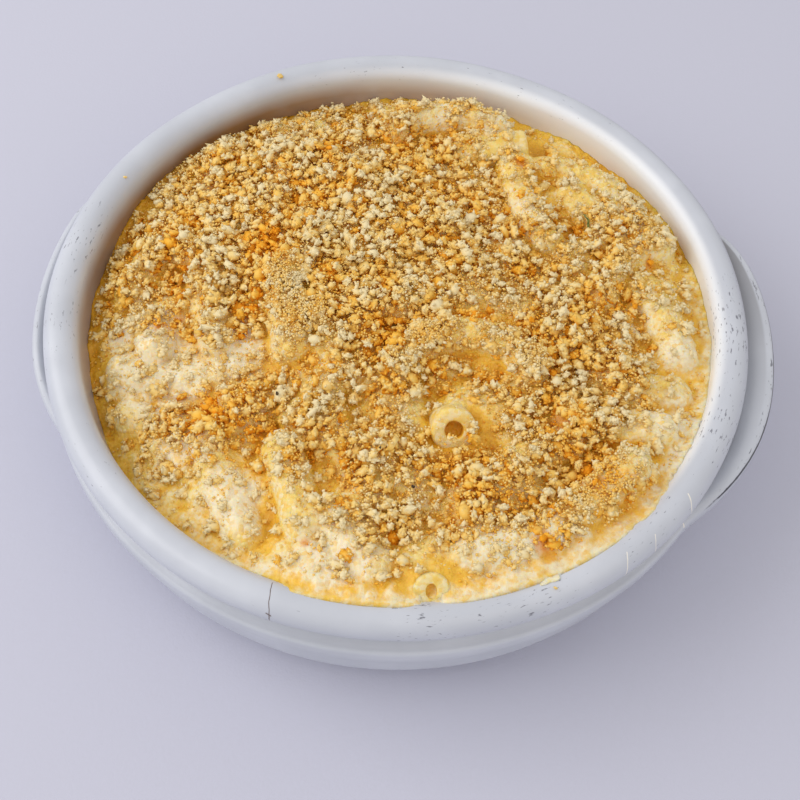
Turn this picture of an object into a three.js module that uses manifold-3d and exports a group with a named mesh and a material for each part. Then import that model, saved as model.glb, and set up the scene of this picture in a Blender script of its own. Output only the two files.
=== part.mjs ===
// Baked macaroni cheese in its round eared gratin dish.
// Millimetres, +Z up. The origin is at the middle of the dish's flat base, and +X runs through an ear.
import * as THREE from "three";
import { mergeVertices } from "three/addons/utils/BufferGeometryUtils.js";
import Module from "manifold-3d";

const wasm = await Module();
wasm.setup();

// ---- driving dimensions -------------------------------------------------------------------------

const FULL_TURN = 2 * Math.PI;
const WELD_TOLERANCE = 1e-4;

// The repeatable draw: a 32-bit linear congruential sequence.
const DRAW = { seed: 20241, multiplier: 1664525, increment: 1013904223, range: 2 ** 32 };

// Dish: one thrown stoneware body with a rolled rim, a cove under it and a ledge that carries the ears.
const DISH = {
  height: 37,
  rimRadius: 75.5,
  rollRadius: 3.6,
  rollStartAngle: -32,
  rollSteps: 9,
  innerWallZ: 26.9,
  coveSteps: 7,
  ledgeRadius: 75.6,
  ledgeTopZ: 25.6,
  ledgeBottomZ: 21.2,
  ledgeEdge: 0.9,
  wallRadius: 74.4,
  haunchZ: 13.5,
  haunchRadius: 73.6,
  baseRadius: 57,
  floorZ: 6.5,
  floorRadius: 52,
  innerWallRadius: 67.9,
  innerHaunchZ: 19,
  innerHaunchRadius: 66.2,
  haunchSteps: 6,
  turnSteps: 90,
};

// Ears: the ledge is drawn out and lifted into a wide ear at +X and a narrower one at -X. Angles in degrees.
const EARS = [
  { middle: 2.5, halfAngle: 33, liftAngle: 45, reach: 81.8, bluntness: 3, shoulder: 1.2 },
  { middle: 184.5, halfAngle: 27, liftAngle: 36, reach: 78.5, bluntness: 5, shoulder: 1.2 },
];
const EAR_LIFT = { topZ: 31.6, bottomZ: 26.8, edge: 1.1, quickness: 1.6 };

// Cove between rim and ledge: its curve's handles and end as radius and height, along the plain ledge and
// behind an ear, where a narrow groove is left.
const COVE = {
  plain: { lower: [72.3, 26.3], upper: [72.1, 27.9], end: [74, 29.9] },
  eared: { lower: [76.6, 31.9], upper: [74.4, 28.4], end: [74.5, 30.6] },
  lowerInset: 2,
};

// Core: the macaroni and sauce as one mass, filled higher at the front than at the back and left.
const CORE = {
  wallGap: 0.35,
  fillAtClock: [31, 29.5, 28, 27.5, 26, 28.5, 26, 24, 29.5, 35.3, 35.6, 34],
  crownZ: 33,
  shoulderPower: 2.6,
  crumbBank: { x: -18, y: 22, reach: 34, rise: 1.8 },
  lumpAtWall: 0.35,
  rings: 12,
  sectors: 42,
};

// Soft lumps left by the macaroni just under the sauce: crossing waves, in radians per millimetre.
const LUMP_WAVES = [
  { height: 0.375, alongX: 0.31, alongY: 0.27, phase: 0.5 },
  { height: 0.375, alongX: 0.31, alongY: -0.27, phase: 1.3 },
  { height: 0.45, alongX: 0.19, alongY: -0.33, phase: 2.1 },
  { height: 0.3, alongX: 0.44, alongY: 0.21, phase: 0.27 },
];

// Elbow macaroni: short bent tubes, sunk in the sauce.
const ELBOW = {
  radius: 4.5,
  boreRadius: 1.9,
  boreDepth: 5,
  boreOverrun: 1,
  sides: 8,
  steps: 6,
  lineSamples: 12,
  boreSides: 7,
  wallClearance: 0.6,
  wallPasses: 6,
};

// The elbows that stand proud: place, the heading of one end, length along the tube, bend, how far the
// axis lies above the sauce, how much that end points up, and whether it shows its bore.
const PROUD_ELBOWS = [
  { x: 17, y: -22, heading: -78, length: 16, bend: 0, lift: -0.7, pitch: 15, open: true },
  { x: 12, y: -60.5, heading: 4, length: 13, bend: 0, lift: -3.6, pitch: 36, open: true },
  { x: -52, y: -13, heading: -65, length: 12, bend: 0, lift: -3.4, pitch: 55, open: true },
  { x: 19, y: 54, heading: 37, length: 13, bend: 10, lift: 1.8, pitch: 4, open: true },
  { x: 2, y: 57, heading: 12, length: 25, bend: -70, lift: 1.4, pitch: 0, open: false },
  { x: -13, y: -14, heading: 117, length: 15, bend: 15, lift: 0, pitch: 8, open: false },
  { x: 16, y: -9, heading: 8, length: 33, bend: -125, lift: 0.2, pitch: 0, open: false },
  { x: 50, y: 21, heading: 55, length: 20, bend: -55, lift: 1.2, pitch: 0, open: false },
  { x: 57, y: 7, heading: -62, length: 17, bend: -20, lift: 0.8, pitch: 0, open: false },
  { x: 55, y: -25, heading: 4, length: 18, bend: 16, lift: 0.6, pitch: 0, open: false },
  { x: 58, y: -12, heading: 2, length: 12, bend: 30, lift: 0.2, pitch: 0, open: false },
  { x: 24, y: 35, heading: -66, length: 24, bend: 28, lift: 0.8, pitch: 0, open: false },
  { x: 37, y: 50, heading: -9, length: 18, bend: -35, lift: 1, pitch: 0, open: false },
  { x: 52, y: 36, heading: -48, length: 20, bend: -30, lift: 0.2, pitch: 0, open: false },
  { x: 40, y: 34, heading: -40, length: 15, bend: 20, lift: 0.2, pitch: 0, open: false },
  { x: -47, y: -24, heading: -4, length: 16, bend: 25, lift: 0.4, pitch: 0, open: false },
  { x: -23, y: -6, heading: -72, length: 18, bend: 15, lift: 0.6, pitch: 0, open: false },
  { x: -28, y: -51, heading: -58, length: 22, bend: 12, lift: 0.9, pitch: 0, open: false },
  { x: 0, y: -59, heading: -40, length: 14, bend: 20, lift: -0.6, pitch: 0, open: false },
  { x: 32, y: -54, heading: 26, length: 17, bend: 25, lift: -1.6, pitch: 0, open: false },
  { x: -13, y: -47, heading: -64, length: 16, bend: -15, lift: 0, pitch: 0, open: false },
  { x: 50, y: -38, heading: 49, length: 13, bend: 10, lift: 0.1, pitch: 0, open: false },
  { x: -40, y: -7, heading: -66, length: 17, bend: 20, lift: 0.3, pitch: 0, open: false },
];

// Toasted crumbs: irregular flakes, thickest over the back left.
const CRUMB = {
  count: 110,
  tries: 4000,
  spacing: 6.6,
  smallest: 1.5,
  largest: 2.5,
  flatness: 0.62,
  rise: 0.35,
  jitter: 0.32,
  tilt: THREE.MathUtils.degToRad(26),
  bankReach: 46,
  thinnest: 0.3,
};

// ---- shared helpers -----------------------------------------------------------------------------

/** A repeatable draw between 0 and 1. */
function makeDraw() {
  let state = DRAW.seed;
  return () => {
    state = (Math.imul(state, DRAW.multiplier) + DRAW.increment) >>> 0;
    return state / DRAW.range;
  };
}

/** Turn a closed three.js geometry into a solid that can be joined and cut. */
function toSolid(geometry) {
  const bare = geometry.index ? geometry.toNonIndexed() : geometry.clone();
  bare.deleteAttribute("normal");
  bare.deleteAttribute("uv");
  const merged = mergeVertices(bare, WELD_TOLERANCE);
  const mesh = new wasm.Mesh({
    numProp: 3,
    vertProperties: new Float32Array(merged.attributes.position.array),
    triVerts: new Uint32Array(merged.index.array),
  });
  return new wasm.Manifold(mesh);
}

/** Turn a solid back into a three.js geometry with flat facets. */
function toGeometry(solid) {
  const mesh = solid.getMesh();
  const geometry = new THREE.BufferGeometry();
  const positions = new Float32Array(mesh.numVert * 3);
  for (let i = 0; i < mesh.numVert; i += 1) {
    for (let k = 0; k < 3; k += 1) {
      positions[i * 3 + k] = mesh.vertProperties[i * mesh.numProp + k];
    }
  }
  geometry.setAttribute("position", new THREE.BufferAttribute(positions, 3));
  geometry.setIndex(new THREE.BufferAttribute(new Uint32Array(mesh.triVerts), 1));
  geometry.computeVertexNormals();
  return geometry;
}

/** Points along an arc in the turning plane (x is the radius, y is the height), angles in degrees. */
function turnArc(centreX, centreY, radiusX, radiusY, from, to, steps) {
  const points = [];
  for (let i = 0; i <= steps; i += 1) {
    const angle = THREE.MathUtils.degToRad(from + ((to - from) * i) / steps);
    points.push(new THREE.Vector2(centreX + radiusX * Math.cos(angle), centreY + radiusY * Math.sin(angle)));
  }
  return points;
}

/** The value a share of the way from low to high. */
function mix(low, high, share) {
  return low + (high - low) * share;
}

/** Smooth step from 0 at and below zero to 1 at and above one. */
function ease(t) {
  const clamped = Math.min(Math.max(t, 0), 1);
  return clamped * clamped * (3 - 2 * clamped);
}

// ---- dish ---------------------------------------------------------------------------------------

/** Inner wall of the dish from the middle of its floor up to the inside of the rolled rim. */
function innerProfile(gap) {
  const rollX = DISH.rimRadius - DISH.rollRadius;
  const rollZ = DISH.height - DISH.rollRadius;
  const floor = DISH.floorZ + gap;
  const haunchRadius = DISH.innerHaunchRadius - gap;
  return [
    new THREE.Vector2(0, floor),
    ...turnArc(
      DISH.floorRadius,
      DISH.innerHaunchZ,
      haunchRadius - DISH.floorRadius,
      DISH.innerHaunchZ - floor,
      -90,
      0,
      DISH.haunchSteps,
    ),
    new THREE.Vector2(DISH.innerWallRadius - gap, DISH.innerWallZ),
    new THREE.Vector2(rollX - DISH.rollRadius - gap, rollZ),
  ];
}

/** How far the ledge is drawn out and lifted into an ear in a direction: its outer radius and its lift. */
function earAt(angle) {
  const found = { reach: DISH.ledgeRadius, lift: 0 };
  for (const ear of EARS) {
    const turn = angle - THREE.MathUtils.degToRad(ear.middle);
    const offset = THREE.MathUtils.radToDeg(Math.abs(Math.atan2(Math.sin(turn), Math.cos(turn))));
    const share = Math.min(offset / ear.halfAngle, 1);
    const swell = (1 - share ** ear.bluntness) ** ear.shoulder;
    found.reach = Math.max(found.reach, mix(DISH.ledgeRadius, ear.reach, swell));
    found.lift = Math.max(found.lift, ease(EAR_LIFT.quickness * (1 - offset / ear.liftAngle)));
  }
  return found;
}

/** The ledge or ear and the cove above it in a direction, from the underside up to the rolled rim. */
function ledgeProfile(angle) {
  const { reach, lift } = earAt(angle);
  const bottom = mix(DISH.ledgeBottomZ, EAR_LIFT.bottomZ, lift);
  const top = mix(DISH.ledgeTopZ, EAR_LIFT.topZ, lift);
  const edge = mix(DISH.ledgeEdge, EAR_LIFT.edge, lift);
  const handle = (name, limit) => new THREE.Vector2(
    Math.min(mix(COVE.plain[name][0], COVE.eared[name][0], lift), limit),
    mix(COVE.plain[name][1], COVE.eared[name][1], lift),
  );
  const cove = new THREE.CubicBezierCurve(
    new THREE.Vector2(reach - edge, top),
    handle("lower", reach - COVE.lowerInset),
    handle("upper", reach),
    handle("end", reach),
  );
  return [
    new THREE.Vector2(DISH.wallRadius, bottom),
    ...turnArc(reach - edge, bottom + edge, edge, edge, -90, 0, 2),
    ...turnArc(reach - edge, top - edge, edge, edge, 0, 90, 2).slice(0, -1),
    ...cove.getPoints(DISH.coveSteps),
  ];
}

/** The whole section of the dish in a direction, from the middle of its base round to its floor. */
function dishProfile(angle) {
  const rollX = DISH.rimRadius - DISH.rollRadius;
  const rollZ = DISH.height - DISH.rollRadius;
  return [
    ...turnArc(
      DISH.baseRadius,
      DISH.haunchZ,
      DISH.haunchRadius - DISH.baseRadius,
      DISH.haunchZ,
      -90,
      0,
      DISH.haunchSteps,
    ),
    ...ledgeProfile(angle),
    ...turnArc(rollX, rollZ, DISH.rollRadius, DISH.rollRadius, DISH.rollStartAngle, 180, DISH.rollSteps),
    ...innerProfile(0).slice(1, -1).reverse(),
  ];
}

/** The dish: its sections in all directions, skinned into one closed solid. */
function dishSolid() {
  const steps = DISH.turnSteps;
  const positions = [];
  const index = [];
  let rows = 0;
  for (let step = 0; step < steps; step += 1) {
    const angle = (FULL_TURN * step) / steps;
    const profile = dishProfile(angle);
    rows = profile.length;
    for (const point of profile) {
      positions.push(point.x * Math.cos(angle), point.x * Math.sin(angle), point.y);
    }
  }
  const base = positions.length / 3;
  const floor = base + 1;
  positions.push(0, 0, 0, 0, 0, DISH.floorZ);
  for (let step = 0; step < steps; step += 1) {
    const here = step * rows;
    const next = ((step + 1) % steps) * rows;
    index.push(base, next, here);
    for (let row = 0; row + 1 < rows; row += 1) {
      index.push(here + row, next + row, next + row + 1);
      index.push(here + row, next + row + 1, here + row + 1);
    }
    index.push(floor, here + rows - 1, next + rows - 1);
  }
  const geometry = new THREE.BufferGeometry();
  geometry.setAttribute("position", new THREE.BufferAttribute(new Float32Array(positions), 3));
  geometry.setIndex(index);
  return toSolid(geometry);
}

// ---- macaroni and sauce -------------------------------------------------------------------------

/** Level of the food where it meets the wall, smoothly joined through the twelve clock levels. */
function fillLevel(angle) {
  const levels = CORE.fillAtClock;
  const place = (((angle / FULL_TURN) % 1) + 1) % 1 * levels.length;
  const low = Math.floor(place) % levels.length;
  const high = (low + 1) % levels.length;
  return levels[low] + (levels[high] - levels[low]) * ease(place - Math.floor(place));
}

/** Height of the soft lumps at a place. */
function lumps(x, y) {
  const raise = (sum, wave) => sum + wave.height * Math.sin(wave.alongX * x + wave.alongY * y + wave.phase);
  return LUMP_WAVES.reduce(raise, 0);
}

/** Height of the bare surface of the food above the base. */
function surfaceHeight(x, y) {
  const radius = Math.hypot(x, y);
  const share = Math.min(radius / DISH.innerWallRadius, 1);
  const shoulder = share ** CORE.shoulderPower;
  const level = CORE.crownZ + (fillLevel(Math.atan2(y, x)) - CORE.crownZ) * shoulder;
  const bank = CORE.crumbBank;
  const away = Math.hypot(x - bank.x, y - bank.y) / bank.reach;
  const calm = 1 - shoulder * shoulder;
  const unevenness = CORE.lumpAtWall + (1 - CORE.lumpAtWall) * calm;
  return level + bank.rise * Math.exp(-away * away) * calm + lumps(x, y) * unevenness;
}

/** Radius of the food against the wall at a height. */
function wallRadiusAt(z) {
  const profile = innerProfile(CORE.wallGap);
  for (let i = 1; i < profile.length; i += 1) {
    const below = profile[i - 1];
    const above = profile[i];
    if (z <= above.y && above.y > below.y) {
      return below.x + ((above.x - below.x) * Math.max(z - below.y, 0)) / (above.y - below.y);
    }
  }
  return profile[profile.length - 1].x;
}

/** The smaller core: a mass that fills the dish up to its uneven surface. */
function foodCore() {
  const { rings, sectors } = CORE;
  const positions = [];
  const index = [];
  const floor = DISH.floorZ + CORE.wallGap;
  const side = innerProfile(CORE.wallGap).slice(1, -2);
  const edgeRadius = wallRadiusAt(DISH.innerWallZ);

  positions.push(0, 0, surfaceHeight(0, 0));
  for (let ring = 1; ring <= rings; ring += 1) {
    for (let sector = 0; sector < sectors; sector += 1) {
      const angle = (FULL_TURN * sector) / sectors;
      let radius = (edgeRadius * ring) / rings;
      if (ring === rings) {
        const level = surfaceHeight(edgeRadius * Math.cos(angle), edgeRadius * Math.sin(angle));
        radius = Math.min(wallRadiusAt(level), edgeRadius);
      }
      const x = radius * Math.cos(angle);
      const y = radius * Math.sin(angle);
      positions.push(x, y, surfaceHeight(x, y));
    }
  }
  for (let row = side.length - 1; row >= 0; row -= 1) {
    for (let sector = 0; sector < sectors; sector += 1) {
      const angle = (FULL_TURN * sector) / sectors;
      positions.push(side[row].x * Math.cos(angle), side[row].x * Math.sin(angle), side[row].y);
    }
  }
  const bottom = positions.length / 3;
  positions.push(0, 0, floor);

  const rows = rings + side.length;
  const at = (row, sector) => 1 + row * sectors + (sector % sectors);
  for (let sector = 0; sector < sectors; sector += 1) {
    index.push(0, at(0, sector), at(0, sector + 1));
    for (let row = 0; row + 1 < rows; row += 1) {
      index.push(at(row, sector), at(row + 1, sector), at(row + 1, sector + 1));
      index.push(at(row, sector), at(row + 1, sector + 1), at(row, sector + 1));
    }
    index.push(bottom, at(rows - 1, sector + 1), at(rows - 1, sector));
  }
  const geometry = new THREE.BufferGeometry();
  geometry.setAttribute("position", new THREE.BufferAttribute(new Float32Array(positions), 3));
  geometry.setIndex(index);
  return toSolid(geometry);
}

/** A closed round bar along a curve. */
function bar(curve, radius, sides, steps) {
  const section = new THREE.Shape();
  for (let i = 0; i < sides; i += 1) {
    const angle = (FULL_TURN * i) / sides;
    if (i === 0) {
      section.moveTo(radius, 0);
    } else {
      section.lineTo(radius * Math.cos(angle), radius * Math.sin(angle));
    }
  }
  section.closePath();
  const geometry = new THREE.ExtrudeGeometry(section, {
    extrudePath: curve,
    steps,
    bevelEnabled: false,
  });
  return toSolid(geometry);
}

/** The middle line of an elbow: an arc over the sauce, its far end raised by the pitch. */
function elbowLine(elbow) {
  const heading = THREE.MathUtils.degToRad(elbow.heading);
  const bend = THREE.MathUtils.degToRad(elbow.bend);
  const slope = Math.tan(THREE.MathUtils.degToRad(elbow.pitch));
  const level = surfaceHeight(elbow.x, elbow.y) + elbow.lift;
  const run = elbow.length * Math.cos(THREE.MathUtils.degToRad(elbow.pitch));
  const samples = ELBOW.lineSamples;
  const points = [];
  let x = 0;
  let y = 0;
  const middle = new THREE.Vector3();
  for (let i = 0; i <= samples; i += 1) {
    const share = i / samples - 0.5;
    points.push(new THREE.Vector3(x, y, level + slope * run * share));
    const turn = heading + bend * (share + 0.5 / samples);
    x += (run / samples) * Math.cos(turn);
    y += (run / samples) * Math.sin(turn);
    middle.add(points[i]);
  }
  middle.divideScalar(samples + 1);
  for (const point of points) {
    point.x += elbow.x - middle.x;
    point.y += elbow.y - middle.y;
  }
  return new THREE.CatmullRomCurve3(points);
}

/** Move a whole curve in from the wall until every point on it keeps its clearance. */
function keepInside(curve, clearance) {
  const limit = DISH.innerHaunchRadius - CORE.wallGap - clearance;
  for (let pass = 0; pass < ELBOW.wallPasses; pass += 1) {
    const reach = (point) => Math.hypot(point.x, point.y);
    const widest = curve.points.reduce((best, point) => (reach(point) > reach(best) ? point : best));
    const excess = Math.max(reach(widest) - limit, 0) / reach(widest);
    const shift = new THREE.Vector3(-widest.x * excess, -widest.y * excess, 0);
    for (const point of curve.points) {
      point.add(shift);
    }
  }
  return curve;
}

/** One elbow as a solid, with a blind bore in the end that shows. */
function elbowSolid(elbow) {
  const curve = keepInside(elbowLine(elbow), ELBOW.radius + ELBOW.wallClearance);
  let solid = bar(curve, ELBOW.radius, ELBOW.sides, ELBOW.steps);
  if (elbow.open) {
    const mouth = curve.getPoint(1);
    const inward = curve.getTangent(1).negate();
    const bore = new THREE.LineCurve3(
      mouth.clone().addScaledVector(inward, -ELBOW.boreOverrun),
      mouth.clone().addScaledVector(inward, ELBOW.boreDepth),
    );
    solid = solid.subtract(bar(bore, ELBOW.boreRadius, ELBOW.boreSides, 1));
  }
  return solid;
}

/** How thickly the crumbs lie at a place, from 0 to 1. */
function crumbCover(x, y) {
  const bank = CORE.crumbBank;
  const away = Math.hypot(x - bank.x, y - bank.y) / CRUMB.bankReach;
  return CRUMB.thinnest + (1 - CRUMB.thinnest) * Math.exp(-away * away);
}

/** Places of the crumbs: drawn at random, kept apart and thinned where the cover is thin. */
function crumbPlaces(draw) {
  const places = [];
  const limit = DISH.innerHaunchRadius - CRUMB.largest - ELBOW.wallClearance;
  for (let i = 0; i < CRUMB.tries && places.length < CRUMB.count; i += 1) {
    const radius = limit * Math.sqrt(draw());
    const angle = FULL_TURN * draw();
    const x = radius * Math.cos(angle);
    const y = radius * Math.sin(angle);
    const wanted = draw() < crumbCover(x, y);
    const clear = places.every((other) => Math.hypot(other.x - x, other.y - y) > CRUMB.spacing);
    if (wanted && clear) {
      places.push({ x, y });
    }
  }
  return places;
}

/** One crumb: a dented, flattened flake. */
function crumbSolid(place, draw) {
  const size = CRUMB.smallest + (CRUMB.largest - CRUMB.smallest) * draw();
  const geometry = new THREE.IcosahedronGeometry(size, 0);
  geometry.deleteAttribute("normal");
  geometry.deleteAttribute("uv");
  const flake = mergeVertices(geometry, WELD_TOLERANCE);
  const position = flake.attributes.position;
  for (let i = 0; i < position.count; i += 1) {
    const swell = 1 + CRUMB.jitter * (2 * draw() - 1);
    position.setXYZ(
      i,
      position.getX(i) * swell,
      position.getY(i) * swell,
      position.getZ(i) * swell * CRUMB.flatness,
    );
  }
  flake.rotateX(CRUMB.tilt * (2 * draw() - 1));
  flake.rotateZ(FULL_TURN * draw());
  flake.translate(place.x, place.y, surfaceHeight(place.x, place.y) + CRUMB.rise * size);
  return toSolid(flake);
}

/** The largest body of a solid: hollows sealed by fusing are filled and loose scraps dropped. */
function wholeBody(solid) {
  const bodies = solid.decompose();
  return bodies.reduce((best, body) => (body.volume() > best.volume() ? body : best));
}

/** The food: its core with the elbows and the largest crumbs fused on. */
function foodSolid() {
  const draw = makeDraw();
  const pieces = [foodCore()];
  for (const elbow of PROUD_ELBOWS) {
    pieces.push(elbowSolid(elbow));
  }
  for (const place of crumbPlaces(draw)) {
    pieces.push(crumbSolid(place, draw));
  }
  return wholeBody(wasm.Manifold.union(pieces));
}

// ---- assembly -----------------------------------------------------------------------------------

const glazedStoneware = new THREE.MeshStandardMaterial({ color: 0xdfe0e4, roughness: 0.3, metalness: 0 });
const cheeseAndCrumb = new THREE.MeshStandardMaterial({ color: 0xe0bd72, roughness: 0.6, metalness: 0 });

const dish = new THREE.Mesh(toGeometry(dishSolid()), glazedStoneware);
dish.name = "dish";

const food = new THREE.Mesh(toGeometry(foodSolid()), cheeseAndCrumb);
food.name = "mac_and_cheese";

const group = new THREE.Group();
group.name = "mac_and_cheese_in_dish";
group.add(dish, food);

export default group;
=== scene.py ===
"""Baked macaroni and cheese in a round eared gratin dish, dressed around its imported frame.

Lengths are in millimetres, in the frame's axes, and turn into metres where a mesh or a light is made.
"""

import logging
import math
from collections.abc import Mapping, Sequence
from dataclasses import dataclass, field
from enum import Enum
from functools import partial
from typing import Any

import bmesh
import bpy
import numpy as np
from mathutils import Matrix, Vector


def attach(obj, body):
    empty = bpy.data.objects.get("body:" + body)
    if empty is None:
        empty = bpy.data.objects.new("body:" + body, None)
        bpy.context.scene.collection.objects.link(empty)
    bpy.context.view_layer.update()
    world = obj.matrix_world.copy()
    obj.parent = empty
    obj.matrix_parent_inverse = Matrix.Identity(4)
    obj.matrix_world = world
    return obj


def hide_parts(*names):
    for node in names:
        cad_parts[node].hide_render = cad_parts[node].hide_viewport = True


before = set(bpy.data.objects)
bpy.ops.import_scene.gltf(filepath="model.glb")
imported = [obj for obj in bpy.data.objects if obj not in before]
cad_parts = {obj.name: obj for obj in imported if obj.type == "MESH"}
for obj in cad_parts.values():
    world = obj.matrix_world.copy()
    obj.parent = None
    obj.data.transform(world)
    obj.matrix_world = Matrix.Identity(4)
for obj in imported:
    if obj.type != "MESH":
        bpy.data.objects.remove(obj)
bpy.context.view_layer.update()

log = logging.getLogger("gratin")

Array = np.ndarray
Pair = tuple[float, float]
Triple = tuple[float, float, float]
Socket = bpy.types.NodeSocket
Piece = bpy.types.Object
MM = 0.001
FULL_TURN = 2 * math.pi
SEED = 4127


# ---- numbers and meshes --------------------------------------------------------------------------


def linear(hex_colour: str) -> tuple[float, float, float, float]:
    """Turn an sRGB colour into the linear values that a shader takes.

    Args:
        hex_colour: Six hexadecimal digits, such as "f0d58c".

    Returns:
        Red, green, blue and an alpha of one.
    """
    channels = [int(hex_colour[i : i + 2], 16) / 255 for i in (0, 2, 4)]
    red, green, blue = (c / 12.92 if c <= 0.04045 else ((c + 0.055) / 1.055) ** 2.4 for c in channels)
    return red, green, blue, 1.0


def ease(share: Array | float) -> Array:
    """Rise smoothly from 0 at and below zero to 1 at and above one."""
    clamped = np.clip(share, 0, 1)
    return clamped * clamped * (3 - 2 * clamped)


def blend(low: Array | float, high: Array | float, share: Array | float) -> Array:
    """Go from low to high in a straight line as share goes from 0 to 1."""
    return low + (high - low) * share


def smooth_max(first: Array, second: Array, width: float) -> Array:
    """The larger of two heights, with the crease between them filled over a width.

    Args:
        first: One set of heights.
        second: The other set of heights.
        width: How far apart the two may lie and still be joined by a fillet.

    Returns:
        The joined heights.
    """
    near = np.maximum(width - np.abs(first - second), 0) / width
    return np.maximum(first, second) + near * near * width / 4


def hill(x: Array, y: Array, centre_x: float, centre_y: float, reach: float) -> Array:
    """A soft round hill of height one at a place, fading out over a reach."""
    return np.exp(-((x - centre_x) ** 2 + (y - centre_y) ** 2) / reach**2)


def table(kind: type, *rows: tuple) -> tuple:
    """One record for each row of its fields."""
    return tuple(kind(*row) for row in rows)


def degrees_from(degrees: Array, middle: float) -> Array:
    """How far angles lie from a middle one, the shorter way round, in degrees."""
    return (degrees - middle + 180) % 360 - 180


def fade(away: Array, spread: float, power: int = 2) -> Array:
    """One in the middle, fading out over a spread, with a flatter top for a higher power."""
    return np.exp(-((away / spread) ** power))


def along(line: Array, marks: Array, places: Array | float) -> Array:
    """Points of a line at places along it, measured like the marks of the line's own points."""
    return np.stack([np.interp(places, marks, line[:, k]) for k in range(line.shape[1])], axis=-1)


class Grain:
    """Repeatable smooth noise over the plane, between about -1 and 1."""

    SIDE = 256
    ORIGIN = (SIDE / 3, SIDE / 5)
    BUMP_SHIFT = 0.45
    BUMP_REACH = (0.75, 0.25)
    BUMP_LIFT = (0.7, 0.3)
    REACH_COLUMN = 31
    LIFT_COLUMN = 59

    def __init__(self, seed: int) -> None:
        """Draw the lattice that the noise runs over.

        Args:
            seed: Which noise of many this one is.
        """
        self.lattice = np.random.default_rng(seed).uniform(-1, 1, (self.SIDE, self.SIDE))

    def cells(self, x: Array, y: Array, size: float) -> tuple[Array, Array, Array, Array]:
        """Where places lie on the lattice.

        Args:
            x: Places along X.
            y: Places along Y.
            size: Width of one cell.

        Returns:
            Their column and row, and the numbers of the cells that these lie in.
        """
        column = x / size + self.ORIGIN[0]
        row = y / size + self.ORIGIN[1]
        return column, row, np.floor(column).astype(int), np.floor(row).astype(int)

    def at(self, x: Array, y: Array, size: float) -> Array:
        """The noise at places, for lumps of a size.

        Args:
            x: Places along X.
            y: Places along Y.
            size: Distance between one lump and the next.

        Returns:
            One value for each place.
        """
        column, row, left, low = self.cells(x, y, size)
        across = ease(column - left)
        up = ease(row - low)

        def corner(i: int, j: int) -> Array:
            """The lattice's number at one of the four corners round each place."""
            return self.lattice[(left + i) % self.SIDE, (low + j) % self.SIDE]

        below = blend(corner(0, 0), corner(1, 0), across)
        above = blend(corner(0, 1), corner(1, 1), across)
        return blend(below, above, up)

    def octaves(self, x: Array, y: Array, size: float, count: int) -> Array:
        """Several noises on top of each other, each half as large and half as high as the last.

        Args:
            x: Places along X.
            y: Places along Y.
            size: Lump size of the coarsest.
            count: How many noises are added up.

        Returns:
            One value for each place.
        """
        total = np.zeros_like(x)
        for octave in range(count):
            total = total + self.at(x, y, size / 2**octave) / 2**octave
        return total

    def pebbles(self, x: Array, y: Array, size: float) -> Array:
        """Packed round bumps of uneven place, width and height.

        Args:
            x: Places along X.
            y: Places along Y.
            size: Distance between one bump and the next.

        Returns:
            The height of the highest bump at each place, from 0 to 1.
        """
        column, row, left, low = self.cells(x, y, size)
        top = np.zeros_like(x)
        for i in (-1, 0, 1):
            for j in (-1, 0, 1):
                a = (left + i) % self.SIDE
                b = (low + j) % self.SIDE
                across = column - left - i - 0.5 - self.BUMP_SHIFT * self.lattice[a, b]
                up = row - low - j - 0.5 - self.BUMP_SHIFT * self.lattice[b, a]
                reach = self.BUMP_REACH[0] + self.BUMP_REACH[1] * self.lattice[a - self.REACH_COLUMN, b]
                lift = self.BUMP_LIFT[0] + self.BUMP_LIFT[1] * self.lattice[a - self.LIFT_COLUMN, b]
                top = np.maximum(top, lift * np.sqrt(np.maximum(1 - (across**2 + up**2) / reach**2, 0)))
        return top


class Relief:
    """Heights of the food on a square raster, to look up and to compare with what lies round a place."""

    LAST_CELL = 1.001
    BLUR_PASSES = 2

    def __init__(self, half: float, step: float, heights: Array) -> None:
        """Keep a raster of heights.

        Args:
            half: Half the raster's side.
            step: Distance from one point to the next.
            heights: One height for each point.
        """
        self.half = half
        self.step = step
        self.heights = heights

    def at(self, x: Array, y: Array) -> Array:
        """The height at places, between the raster's points.

        Args:
            x: Places along X.
            y: Places along Y.

        Returns:
            One height for each place.
        """
        last = self.heights.shape[0] - self.LAST_CELL
        column = np.clip((x + self.half) / self.step, 0, last)
        row = np.clip((y + self.half) / self.step, 0, last)
        i = column.astype(int)
        j = row.astype(int)
        below = blend(self.heights[i, j], self.heights[i + 1, j], column - i)
        above = blend(self.heights[i, j + 1], self.heights[i + 1, j + 1], column - i)
        return blend(below, above, row - j)

    def blurred(self, reach: float) -> "Relief":
        """The same heights, each the mean of what lies within a reach of it.

        Args:
            reach: How far out the mean goes.

        Returns:
            The smoothed heights.
        """
        span = max(int(reach / self.step), 1)
        heights = self.heights
        for _ in range(self.BLUR_PASSES):
            for axis in (0, 1):
                edges = [(0, 0), (0, 0)]
                edges[axis] = (span + 1, span)
                total = np.cumsum(np.pad(heights, edges, mode="edge"), axis=axis)
                size = heights.shape[axis]
                far = np.take(total, np.arange(size) + 2 * span + 1, axis=axis)
                near = np.take(total, np.arange(size), axis=axis)
                heights = (far - near) / (2 * span + 1)
        return Relief(self.half, self.step, heights)


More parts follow.
